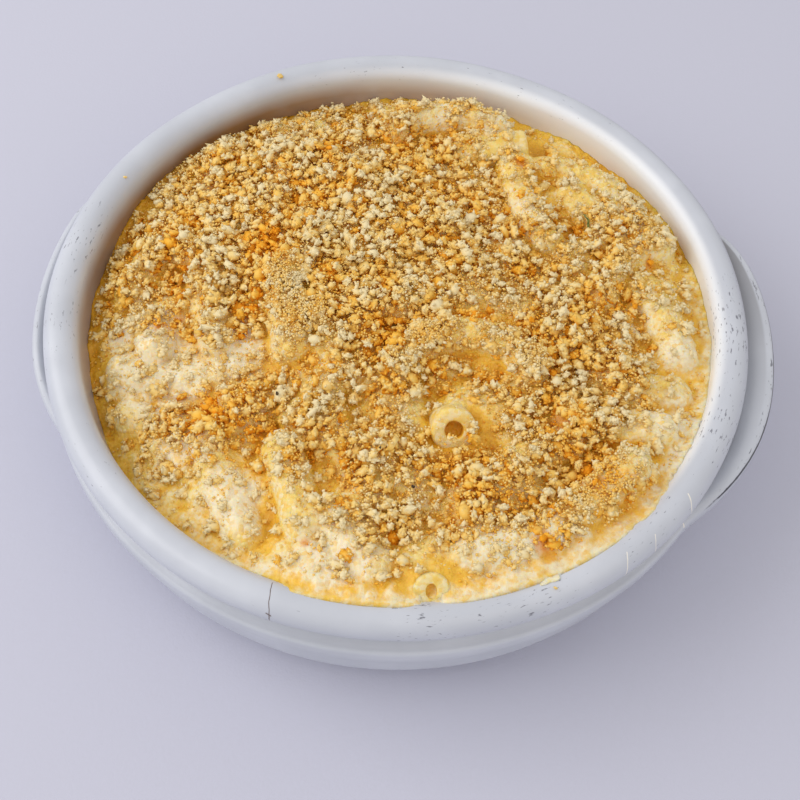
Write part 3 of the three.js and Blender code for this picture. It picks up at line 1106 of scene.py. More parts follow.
    def add_ledge(self, angle: Array) -> tuple[int, int]:
        """Add the ledge with its ears, and the cove above it.

        Args:
            angle: Angle of each column.

        Returns:
            The first row of the ledge's top edge and the first row of the cove.
        """
        reach, lift = self.ear_at(angle)
        bottom = blend(self.ledge_bottom_z, self.ear_bottom_z, lift)
        top = blend(self.ledge_top_z, self.ear_top_z, lift)
        edge = blend(self.ledge_edge, self.ear_edge, lift)
        for share in np.linspace(0, 1, self.ledge_rows):
            self.add_row(blend(self.wall_radius, reach - edge, share), bottom)
        for turn in np.linspace(-math.pi / 2, 0, self.lower_edge_rows)[1:]:
            self.add_row(reach - edge + edge * math.cos(turn), bottom + edge + edge * math.sin(turn))
        self.add_row(reach, blend(bottom + edge, top - edge, 0.5))
        top_edge = len(self.rows)
        for turn in np.linspace(0, math.pi / 2, self.upper_edge_rows):
            self.add_row(reach - edge + edge * math.cos(turn), top - edge + edge * math.sin(turn))
        cove = len(self.rows)
        handles = [np.array([reach - edge, top])]
        limits = (reach - self.cove_inset, reach, reach)
        for plain, eared, limit in zip(self.plain_cove, self.eared_cove, limits):
            radius = np.minimum(blend(plain[0], eared[0], lift), limit)
            handles.append(np.array([radius, blend(plain[1], eared[1], lift)]))
        for t in np.linspace(0, 1, self.cove_rows)[1:]:
            weights = ((1 - t) ** 3, 3 * (1 - t) ** 2 * t, 3 * (1 - t) * t**2, t**3)
            point = sum(weight * handle for weight, handle in zip(weights, handles))
            self.add_row(point[0], point[1])
        return top_edge, cove

    def build(self, finish: GlazedStoneware) -> Piece:
        """Make the dish.

        Args:
            finish: What it is glazed with.

        Returns:
            The finished dish.
        """
        angle = np.arange(self.columns) * FULL_TURN / self.columns
        for radius in self.base_rows:
            self.add_row(radius, 0)
        haunch = (self.haunch_radius - self.base_radius, self.haunch_z)
        self.add_arc((self.base_radius, self.haunch_z), haunch, (-math.pi / 2, 0), self.haunch_steps)
        for share in self.lower_wall_shares:
            z = blend(self.haunch_z, self.ledge_bottom_z, share)
            self.add_row(blend(self.haunch_radius, self.wall_radius, share), z)
        top_edge, cove = self.add_ledge(angle)
        roll_centre = (self.rim_radius - self.roll_radius, self.height - self.roll_radius)
        roll = len(self.rows)
        turns = (self.roll_start, math.pi)
        self.add_arc(roll_centre, (self.roll_radius, self.roll_radius), turns, self.roll_steps)
        inside = len(self.rows)
        for z in np.linspace(roll_centre[1], self.inner_haunch_z, self.inner_wall_rows)[1:-1]:
            self.add_row(float(self.wall_radius_at(z)), z)
        bowl = (self.inner_haunch_radius - self.floor_radius, self.inner_haunch_z - self.floor_z)
        self.add_arc((self.floor_radius, self.inner_haunch_z), bowl, (0, -math.pi / 2), self.bowl_steps)
        for radius in self.floor_rows:
            self.add_row(radius, self.floor_z)

        radii = np.array([row[0] for row in self.rows])
        heights = np.array([row[1] for row in self.rows])
        radii, heights = self.hand_made(angle, radii, heights)
        points = np.stack([radii * np.cos(angle), radii * np.sin(angle), heights], axis=-1).reshape(-1, 3)
        points = np.concatenate([points, [[0, 0, 0], [0, 0, self.floor_z]]])
        count = len(self.rows)
        last = (count - 1) * self.columns + np.arange(self.columns)
        quads = quads_between(count, self.columns)
        base = fan(count * self.columns, np.arange(self.columns)[::-1])
        floor = fan(count * self.columns + 1, last)
        marks = self.marks(angle, radii, heights, (top_edge, cove, roll, inside))
        return make_piece("gratin_dish", points, [quads, base, floor], finish.material(), **marks)

    def hand_made(self, angle: Array, radii: Array, heights: Array) -> tuple[Array, Array]:
        """Give the upper rows the slight waver of a dish that was finished by hand.

        Args:
            angle: Angle of each column.
            radii: Radius of each row and column.
            heights: Height of each row and column.

        Returns:
            The wavering radii and heights.
        """
        wave = sum(height * np.sin(count * angle + phase) for count, height, phase in self.waves)
        high = ease((heights - self.haunch_z) / (self.height - self.haunch_z))
        inwards = self.waver * high * (self.waver_inwards + wave)
        return radii - inwards, heights - self.waver * high * (1 + self.waver_down * wave)

    def marks(self, angle: Array, radii: Array, heights: Array, rows: tuple) -> dict[str, Array]:
        """Say where the glaze is scuffed, and where the dark edge line, painted light, painted shade and
        films go.

        Args:
            angle: Angle of each column.
            radii: Radius of each row and column.
            heights: Height of each row and column.
            rows: First rows of the ledge's top edge, the cove, the roll and the inside.

        Returns:
            One value for each vertex, by attribute name.
        """
        top_edge, cove, roll, inside = rows
        row = np.arange(len(self.rows))[:, None]
        degrees = np.degrees(angle)[None, :]
        rubbed = np.zeros_like(radii)
        for scuff in self.scuffs:
            rub = scuff.amount * fade(degrees_from(degrees, scuff.clock), scuff.spread)
            rubbed = np.maximum(rubbed, rub)
        crest = np.where((row >= roll) & (row < inside), 1.0, 0.0)
        most, least = self.edge_rub
        edge = np.where((row >= top_edge) & (row <= cove), most, 0.0)
        reach = self.ear_at(angle)[0]
        swell = np.clip((reach - self.ledge_radius) / self.ear_swell, 0, 1)[None, :]
        scuff = crest * blend(self.crest_rub, 1, rubbed) + edge * blend(least, 1, swell)
        # A dark line just under the top of the right ear's edge, on the right ear only.
        dark_edge = np.where((row >= top_edge + 1) & (row <= top_edge + 2), swell * (np.cos(angle) > 0), 0.0)
        # Painted shade deep in the cove, darker towards the right, away from the window lamp.
        depth = np.clip((row - cove) / (roll - cove), 0, 1)
        deepest = np.clip(1 - np.abs(depth - self.cove_deepest) / self.cove_reach, 0, 1)
        thin = np.where((row > cove) & (row < roll + self.cove_past), deepest, 0.0)
        thin = thin * (1 - self.cove_swing + self.cove_swing * np.cos(angle))
        # Baked-on sauce and painted shade on the inner wall above the food, round the back left.
        below, over = self.film_and_shade_height
        near_food = ease((self.height - below - heights) / over)
        film_and_shade = near_food * fade(degrees_from(degrees, self.film_and_shade_clock), self.film_and_shade_spread)
        film_and_shade = np.where(row >= inside - self.film_and_shade_rows, film_and_shade, 0.0)
        # Painted shade on the outer side of the rim at the back right, which faces away from the light.
        inset, over = self.back_shade_band
        outside = ease((radii - self.rim_radius + inset) / over)
        outside = np.where((row > cove) & (row < inside), outside, 0.0)
        back = fade(degrees_from(degrees, self.back_shade_clock), self.back_shade_spread, 4)
        thin = np.maximum(thin, self.back_shade_amount * outside * back)
        # Painted light: the inner wall is painted whiter towards its right part, which faces the window lamp.
        inset, over = self.painted_light_inset
        painted_light = ease((self.rim_radius - inset - radii) / over)
        painted_light = painted_light * ease(self.painted_light_spread + np.cos(angle - self.painted_light_turn))
        painted_light = np.where(row >= inside - self.painted_light_rows, painted_light, 0)
        values = {"scuff": scuff, "dark_edge": dark_edge, "cove": thin, "film_and_shade": film_and_shade, "painted_light": painted_light}
        all_over = np.ones_like(radii)
        ends = [0.0, 0.0]
        return {name: np.concatenate([(one * all_over).ravel(), ends]) for name, one in values.items()}


# ---- macaroni and sauce --------------------------------------------------------------------------


@dataclass(frozen=True)
class Elbow:
    """One elbow of macaroni: its place, the heading of one end, its length and bend, and how it lies.

    An open one shows its cut end, whose bore may be squeezed narrow. Its girth is its radius there, and
    the dip is how far the sauce lies lower round the mouth.
    """

    x: float
    y: float
    heading: float
    length: float
    bend: float
    lift: float
    pitch: float = 0.0
    open: bool = False
    squeeze: float = 1.0
    girth: float = 4.8
    dip: float = 1.2


PROUD_ELBOWS = table(
    Elbow,
    (15.6, -26.4, -78, 12, 0, -2.1, 48, True), (16.6, -62.9, -78, 9, 0, -2.7, 58, True, 0.7, 3.7, 3.0),
    (-52, -12, -65, 12, 0, -3.2, 20), (15.6, 50.4, 12, 14, 6, 1.0, 4, True), (2, 57, 12, 25, -70, 1.4),
    (-13, -14, 117, 15, 15, 0, 8), (16, -9, 8, 33, -125, -0.4), (50, 21, 55, 20, -55, 0.4),
    (57, 7, -62, 17, -20, -0.7), (55, -25, 4, 18, 16, -1.2), (58, -12, 2, 12, 30, -1.5),
    (24, 35, -66, 24, 28, 0.1), (37, 50, -9, 18, -35, 1), (52, 36, -48, 20, -30, -0.5),
    (40, 34, -40, 15, 20, 0.2), (-47, -24, -4, 16, 25, -2.0), (-23, -6, -72, 18, 15, 0.6),
    (-28, -51, -58, 22, 12, -1.5), (0, -59, -40, 14, 20, -2.3), (32, -54, 26, 17, 25, -2.6),
    (-13, -47, -64, 16, -15, 0), (50, -38, 49, 13, 10, 0.1), (-40, -7, -66, 17, 20, -1.2),
)


@dataclass
class Filling:
    """The macaroni and sauce as one heap: how high it lies at every place in the dish."""

    dish: GratinDish
    fill_at_clock: tuple[float, ...] = (31, 29.5, 28, 27.5, 26, 28.5, 26, 24, 29.5, 35.3, 35.6, 34)
    crown_z: float = 33.0
    shoulder_power: float = 2.6
    bank: tuple[float, float, float, float] = (-18, 22, 34, 1.8)
    lump_at_wall: float = 0.35
    lump_waves: tuple[tuple[float, float, float, float], ...] = (
        (0.375, 0.31, 0.27, 0.5),
        (0.375, 0.31, -0.27, 1.3),
        (0.45, 0.19, -0.33, 2.1),
        (0.3, 0.44, 0.21, 0.27),
    )
    elbow_radius: float = 4.5
    bore_radius: float = 1.9
    wall_gap: float = 0.35
    wall_clearance: float = 0.6
    wall_passes: int = 6
    fall: float = 3.0
    mouth_share: float = 0.9
    sunk_margin: float = 2.0
    crust_spread: float = 1.3
    line_samples: int = 12
    line_points: int = 40
    sunk_count: int = 90
    sunk_lift: Pair = (-4.4, -2.9)
    fillet: float = 3.2
    curd_height: float = 0.3
    crust_bumps: tuple[Pair, ...] = ((2.7, 0.85), (1.4, 0.55))
    thin_cover: float = 0.1
    thin_crust: float = 0.65
    mouth_clearance: float = 4.6
    meniscus: Pair = (0.5, 1.7)
    front_swell: float = 1.6
    sunk_length: Pair = (13, 24)
    sunk_bend: float = 95.0
    elbow_skin: float = 0.2
    elbow_margin: float = 4.0
    buried_share: float = 0.45
    heap_sink: float = 0.1
    curd_size: float = 2.6
    swell_size: float = 9.0
    swell_height: float = 0.25
    meniscus_width: float = 2.0
    meniscus_size: float = 5.0
    meniscus_swing: float = 0.6
    full_z: Pair = (32, 3)
    front_from: Pair = (54, 10)
    mean_pebble: float = 0.6
    drift_size: float = 6.0
    drift_swing: Pair = (0.75, 0.5)
    raster_half: float = 72.0
    raster_step: float = 0.3
    hollow_reach: float = 3.0
    lines: list[tuple[Elbow, Array]] = field(default_factory=list)
    sunk: list[tuple[Elbow, Array]] = field(default_factory=list)

    def __post_init__(self) -> None:
        """Lay every elbow, the proud ones as listed and the sunk ones at random."""
        draw = np.random.default_rng(SEED)
        self.lines = [(elbow, self.elbow_line(elbow)) for elbow in PROUD_ELBOWS]
        limit = self.dish.inner_haunch_radius - self.elbow_radius - self.sunk_margin
        for _ in range(self.sunk_count):
            radius = limit * math.sqrt(draw.random())
            angle = FULL_TURN * draw.random()
            elbow = Elbow(
                x=radius * math.cos(angle),
                y=radius * math.sin(angle),
                heading=360 * draw.random(),
                length=draw.uniform(*self.sunk_length),
                bend=draw.uniform(-self.sunk_bend, self.sunk_bend),
                lift=draw.uniform(*self.sunk_lift),
            )
            self.sunk.append((elbow, self.elbow_line(elbow)))

    def level(self, x: Array, y: Array) -> Array:
        """Height of the bare heap, the same as its solid's.

        Args:
            x: Places along X.
            y: Places along Y.

        Returns:
            One height for each place.
        """
        levels = np.array(self.fill_at_clock)
        place = (np.arctan2(y, x) / FULL_TURN % 1) * len(levels)
        low = np.floor(place).astype(int) % len(levels)
        at_wall = blend(levels[low], levels[(low + 1) % len(levels)], ease(place - np.floor(place)))
        share = np.minimum(np.hypot(x, y) / self.dish.inner_wall_radius, 1)
        shoulder = share**self.shoulder_power
        level = self.crown_z + (at_wall - self.crown_z) * shoulder
        bank_x, bank_y, reach, rise = self.bank
        calm = 1 - shoulder * shoulder
        lumps = sum(h * np.sin(a * x + b * y + phase) for h, a, b, phase in self.lump_waves)
        uneven = self.lump_at_wall + (1 - self.lump_at_wall) * calm
        return level + rise * hill(x, y, bank_x, bank_y, reach) * calm + lumps * uneven

    def elbow_line(self, elbow: Elbow) -> Array:
        """The middle line of an elbow, moved in from the wall until it clears it.

        Args:
            elbow: Which elbow.

        Returns:
            Points along the line, from its buried end to the end that its heading points at.
        """
        heading = math.radians(elbow.heading)
        bend = math.radians(elbow.bend)
        slope = math.tan(math.radians(elbow.pitch))
        run = elbow.length * math.cos(math.radians(elbow.pitch))
        level = float(self.level(np.array([elbow.x]), np.array([elbow.y]))[0]) + elbow.lift
        share = np.arange(self.line_samples + 1) / self.line_samples - 0.5
        turn = heading + bend * (share[:-1] + 0.5 / self.line_samples)
        steps = run / self.line_samples * np.stack([np.cos(turn), np.sin(turn)], axis=-1)
        flat = np.concatenate([[[0, 0]], np.cumsum(steps, axis=0)])
        flat += np.array([elbow.x, elbow.y]) - flat.mean(axis=0)
        limit = self.dish.inner_haunch_radius - self.wall_gap - self.elbow_radius - self.wall_clearance
        if elbow.open:
            limit = self.dish.rim_radius
        for _ in range(self.wall_passes):
            reach = np.hypot(flat[:, 0], flat[:, 1])
            widest = int(np.argmax(reach))
            flat = flat - flat[widest] * max(reach[widest] - limit, 0) / reach[widest]
        line = np.column_stack([flat, level + slope * run * share])
        places = np.linspace(0, self.line_samples, self.line_points)
        return along(line, np.arange(len(line)), places)

    def ridge(self, x: Array, y: Array, line: Array, radius: float) -> Array:
        """How high one elbow stands at places round it.

        Args:
            x: Places along X.
            y: Places along Y.
            line: The elbow's middle line.
            radius: Its outer radius.

        Returns:
            Its top where it lies over a place, and a steep fall beside it.
        """
        top = np.full_like(x, -1e3)
        for point in line:
            away = np.hypot(x - point[0], y - point[1])
            dome = point[2] + np.sqrt(np.maximum(radius**2 - away**2, 0))
            top = np.maximum(top, dome - self.fall * np.maximum(away - radius, 0))
        return top

    def crumb_cover(self, x: Array, y: Array, spread: float = 1.0) -> Array:
        """How thickly crumbs lie at a place, and so how likely a flake is to stay there.

        Args:
            x: Places along X.
            y: Places along Y.
            spread: Above one for flakes that keep to the drifts, below one for dust that goes everywhere.

        Returns:
            One value from 0 to 1 for each place.
        """
        drift = spots_at(x, y, DRIFTS)
        for spot in BARE:
            drift = drift * (1 - spot.amount * hill(x, y, spot.x, spot.y, spot.reach))
        middle, swing = self.drift_swing
        patchy = middle + swing * Grain(SEED + 7).at(x, y, self.drift_size)
        cover = np.clip(self.thin_cover + drift * patchy, 0, 1) ** spread
        return cover * (1 - self.mouths(x, y)) ** 2

    def opened(self) -> list[tuple[Elbow, Array]]:
        """The elbows whose cut ends show, with their lines."""
        return [(elbow, line) for elbow, line in self.lines if elbow.open]

    def dips(self, x: Array, y: Array) -> Array:
        """How far the sauce lies lower round the open elbows' mouths."""
        reached = [(elbow, line[-1], self.mouth_share * elbow.girth) for elbow, line in self.opened()]
        return spots_at(x, y, [Spot(*end[:2], reach, elbow.dip) for elbow, end, reach in reached])

    def mouths(self, x: Array, y: Array) -> Array:
        """How near a place is to an open elbow's mouth, from 0 to 1."""
        return spots_at(x, y, [Spot(*line[-1, :2], self.mouth_clearance) for _, line in self.opened()])

    def height(self, x: Array, y: Array, tubes_whole: bool = False) -> Array:
        """Height of the sauce with every elbow that lies under it and the crumb crust baked into it.

        Args:
            x: Places along X.
            y: Places along Y.
            tubes_whole: Whether the open elbows count to their very ends, as a crumb would find them.

        Returns:
            One height for each place.
        """
        grain = Grain(SEED + 1)
        level = self.level(x, y)
        total = level - self.heap_sink
        for elbow, line in self.sunk + self.lines:
            middle = line.mean(axis=0)
            reach = elbow.length / 2 + self.elbow_radius + self.elbow_margin
            close = np.hypot(x - middle[0], y - middle[1]) < reach
            if elbow.open and not tubes_whole:
                line = line[: int(len(line) * self.buried_share)]
            ridge = self.ridge(x[close], y[close], line, self.elbow_radius - self.elbow_skin)
            total[close] = smooth_max(total[close], ridge, self.fillet)
        radius = np.hypot(x, y)
        curd = grain.octaves(x, y, self.curd_size, 3)
        slow = grain.at(x, y, self.swell_size)
        width = self.meniscus_width
        climb = np.maximum(radius - self.dish.inner_wall_radius + width, 0) / width
        full = ease((level - self.full_z[0]) / self.full_z[1])
        uneven = 1 + self.meniscus_swing * grain.at(x, y, self.meniscus_size)
        meniscus = blend(*self.meniscus, full) * climb**2 * uneven
        cover = self.crumb_cover(x, y, self.crust_spread)
        crust = 0.0
        for size, height in self.crust_bumps:
            crust = crust + height * (grain.pebbles(x, y, size) - self.mean_pebble)
        swell = self.front_swell * full * ease((radius - self.front_from[0]) / self.front_from[1])
        clinging = self.thin_crust + (1 - self.thin_crust) * cover
        slow = self.swell_height * slow
        return total + self.curd_height * curd + slow + meniscus + clinging * crust + swell

    def survey(self) -> tuple[Relief, Relief]:
        """Take the food's height on a fine raster.

        Returns:
            The heights themselves, and the mean height of what lies round each place.
        """
        side = np.arange(-self.raster_half, self.raster_half + self.raster_step, self.raster_step)
        x, y = np.meshgrid(side, side, indexing="ij")
        heights = self.height(x.ravel(), y.ravel(), tubes_whole=True).reshape(x.shape)
        relief = Relief(self.raster_half, self.raster_step, heights)
        return relief, relief.blurred(self.hollow_reach)


@dataclass(frozen=True)
class Spot:
    """A soft round spot on the food: its place, its reach and how strong it is."""

    x: float
    y: float
    reach: float
    amount: float = 1.0


def spots_at(x: Array, y: Array, spots: Sequence[Spot]) -> Array:
    """The strength of the strongest spot at each place.

    Args:
        x: Places along X.
        y: Places along Y.
        spots: The spots.

    Returns:
        One value for each place.
    """
    total = np.zeros_like(x)
    for spot in spots:
        total = np.maximum(total, spot.amount * hill(x, y, spot.x, spot.y, spot.reach))
    return total


CREAMY = table(
    Spot,
    (-48, -22, 12, 1.0), (-31, -17, 8, 0.8), (-24, -52, 7, 1.0), (-2, -63, 9, 1.0), (30, -58, 10, 1.0),
    (55, -42, 9, 0.7), (63, -18, 7, 0.9), (62, -2, 7, 0.7), (52, 5, 5, 0.6), (17, 55, 6, 0.9),
    (-37, -41, 6, 0.6), (57, -21, 7, 0.5), (50, 34, 9, 0.5), (-58, -16, 6, 0.8), (40, -50, 6, 0.7),
    (23, 30, 7, 0.5), (2, 56, 7, 0.5),
)

TOASTED = table(
    Spot,
    (21.5, 44.3, 3.0), (53.2, 21.4, 2.2), (50.6, 8.4, 2.0, 0.8), (18.7, -1.3, 3.0), (-8, -59.4, 1.6),
    (-49.3, -13.4, 2.6), (-46.0, -10.5, 2.2, 0.9), (-0.8, 51, 3.0, 0.9), (-34.4, -32.1, 5.0),
    (-23.2, -35.6, 3.5, 0.8), (-13.2, -42.4, 2.0, 0.9), (36.2, -52.2, 3.6), (44.7, -38.7, 4.5),
    (3.7, 29.1, 4.0, 0.8), (-30.0, 11.0, 5.0, 0.9), (-45.6, 35.3, 5.0, 0.8), (28.8, -1.5, 5.0, 0.9),
    (-2.7, -7.3, 5.0, 0.9), (-2.8, -46.1, 3.0, 0.8), (-23.8, -24.0, 3.5, 0.6), (37.5, -25.0, 5.0, 0.9),
    (8.6, -55.0, 2.6, 0.8), (23.5, -43.6, 4.0, 0.9), (-22.8, 39.7, 4.0, 0.8),
)


def sauce_tints(count: int, **given: Array | float) -> dict[str, Array]:
    """What the sauce's finish reads from a mesh: zero, but for what is given.

    Args:
        count: How many vertices the mesh has.
        **given: One number for each vertex, or one for all of them, by attribute name.

    Returns:
        One number for each vertex, by attribute name.
    """
    names = ("hollow", "cream", "toast", "dust", "crust")
    return {name: given.get(name, 0.0) * np.ones(count) for name in names}


@dataclass
class SauceBed:
    """The heap's surface down to the bottom of the dish, made as one closed mesh."""

    filling: Filling
    around: Relief
    grid: int = 280
    lap_from: float = 60.0
    lap_width: float = 3.0
    lap_rise: float = 0.4
    lap_sink: float = 0.08
    edge_size: float = 7.0
    edge_waver: float = 0.22
    edge_margin: Pair = (0.25, 0.05)
    skirt: tuple[float, ...] = (0.75, 0.4)
    # Painted shadow along the food's left edge, where the wall shades it: its amount, where it begins, how
    # far it reaches and where it stops at the front.
    left_shadow: float = 0.7
    left_shadow_edge: Pair = (60, 6)
    left_shadow_side: float = 50.0
    left_shadow_front: Pair = (10, 30)
    cream_edge: Pair = (62, 5)
    cream_towards: Pair = (0.6, -0.8)
    cream_side: float = 60.0
    # Oil and painted shade in the hollows: the least amount, and how fast it grows with depth.
    oily_hollow: Pair = (0.12, 0.5)
    cream_guard: float = 0.6
    dust: Pair = (0.8, 0.6)

    def disc(self) -> tuple[Array, Array, Array, Array]:
        """Spread a square grid evenly over the unit disc.

        Returns:
            The x and y of every grid point, the grid's faces, and its border as a closed ring.
        """
        side = np.linspace(-1, 1, self.grid + 1)
        a, b = np.meshgrid(side, side, indexing="ij")
        wide = np.abs(a) > np.abs(b)
        radius = np.where(wide, a, b)
        safe_a = np.where(a == 0, 1, a)
        safe_b = np.where(b == 0, 1, b)
        turn = np.where(wide, math.pi / 4 * b / safe_a, math.pi / 2 - math.pi / 4 * a / safe_b)
        number = np.arange((self.grid + 1) ** 2).reshape(self.grid + 1, self.grid + 1)
        faces = np.stack([number[:-1, :-1], number[1:, :-1], number[1:, 1:], number[:-1, 1:]], axis=-1)
        border = np.concatenate([number[:-1, 0], number[-1, :-1], number[:0:-1, -1], number[0, :0:-1]])
        return (radius * np.cos(turn)).ravel(), (radius * np.sin(turn)).ravel(), faces.reshape(-1, 4), border

    def build(self, finish: CheeseSauce) -> Piece:
        """Make the bed.

        Args:
            finish: What it is made of.

        Returns:
            The finished bed.
        """
        dish = self.filling.dish
        x, y, faces, border = self.disc()
        x = x * dish.inner_wall_radius
        y = y * dish.inner_wall_radius
        z = self.filling.height(x, y)
        tints = self.tints(x, y, z)
        reach = self.edge_radius(x[border], y[border], z[border])
        turn = np.arctan2(y[border], x[border])
        order = np.argsort(turn)
        edge = np.interp(np.arctan2(y, x), turn[order], reach[order], period=FULL_TURN)
        outwards = (np.hypot(x, y) - self.lap_from) / (dish.inner_wall_radius - self.lap_from)
        spread = blend(1, edge / dish.inner_wall_radius, np.clip(outwards, 0, 1) ** 2)
        x = x * spread
        y = y * spread
        radius = np.hypot(x, y)
        left = np.maximum(edge - radius, 0)
        rim = dish.roll_top_at(radius)
        lapping = radius > dish.wall_radius_at(dish.height - dish.roll_radius)
        inwards = np.sqrt(np.clip(left / self.lap_width, 0, 1))
        lapped = blend(rim - self.lap_sink, np.maximum(z, rim + self.lap_rise), inwards)
        z = np.where(lapping, lapped, z) - self.filling.dips(x, y)
        top = np.column_stack([x, y, z])
        rings = [top]
        floor = dish.floor_z + self.filling.wall_gap
        for share in self.skirt:
            level = blend(floor, z[border], share)
            radius = np.minimum(dish.wall_radius_at(level), reach) - self.filling.wall_gap
            rings.append(np.column_stack([radius * np.cos(turn), radius * np.sin(turn), level]))
        foot = np.full(len(border), dish.floor_radius)
        rings.append(np.column_stack([foot * np.cos(turn), foot * np.sin(turn), np.full(len(border), floor)]))
        rings.append(np.array([[0, 0, floor]]))
        points = np.concatenate(rings)
        quads = [faces]
        upper = border
        for ring in range(len(self.skirt) + 1):
            lower = len(top) + ring * len(border) + np.arange(len(border))
            after = np.roll(upper, -1)
            quads.append(np.stack([after, upper, lower, np.roll(lower, -1)], axis=-1))
            upper = lower
        base = fan(len(points) - 1, upper[::-1])
        pad = np.zeros(len(points) - len(top))
        padded = {name: np.concatenate([values, pad]) for name, values in tints.items()}
        return make_piece("sauce_bed", points, [np.concatenate(quads), base], finish.material(), **padded)

    def edge_radius(self, x: Array, y: Array, z: Array) -> Array:
        """How far out the food reaches: to the wall, and over the inside of the rim where it is full.

        Args:
            x: Places along X on the food's border.
            y: Places along Y there.
            z: Height of the food there.

        Returns:
            The radius of the food's edge at each place.
        """
        dish = self.filling.dish
        uneven = Grain(SEED + 3).octaves(x, y, self.edge_size, 3)
        below, gap = self.edge_margin
        return dish.wall_radius_at(np.minimum(z + self.edge_waver * uneven, dish.height - below)) - gap

    def tints(self, x: Array, y: Array, z: Array) -> dict[str, Array]:
        """Say where the sauce takes oil and painted shade, and where it is creamy, browned or crusted.

        Args:
            x: Places along X.
            y: Places along Y.
            z: Height of the surface there.

        Returns:
            One value for each place, by attribute name.
        """
        cover = self.filling.crumb_cover(x, y)
        sunk = self.around.at(x, y) - z
        radius = np.hypot(x, y)
        # Painted shadow along the left edge, where the wall shades the food.
        left = ease((radius - self.left_shadow_edge[0]) / self.left_shadow_edge[1]) * np.clip(-x / self.left_shadow_side, 0, 1)
        left = left * (1 - ease((-y - self.left_shadow_front[0]) / self.left_shadow_front[1]))
        ahead = self.cream_towards[0] * x / self.cream_side + self.cream_towards[1] * y / self.cream_side
        rim = ease((radius - self.cream_edge[0]) / self.cream_edge[1]) * np.clip(ahead, 0, 1)
        cream = np.maximum(spots_at(x, y, CREAMY), rim)
        # Oil and painted shade: the more, the lower a place lies than what is round it.
        hollow = np.clip(self.oily_hollow[0] + self.oily_hollow[1] * sunk, 0, 1)
        hollow = hollow * (1 - self.cream_guard * cream) + self.left_shadow * left
        toast = spots_at(x, y, TOASTED)
        dust = self.dust[0] - self.dust[1] * cream
        return sauce_tints(len(x), hollow=hollow, cream=cream, toast=toast, dust=dust, crust=cover)


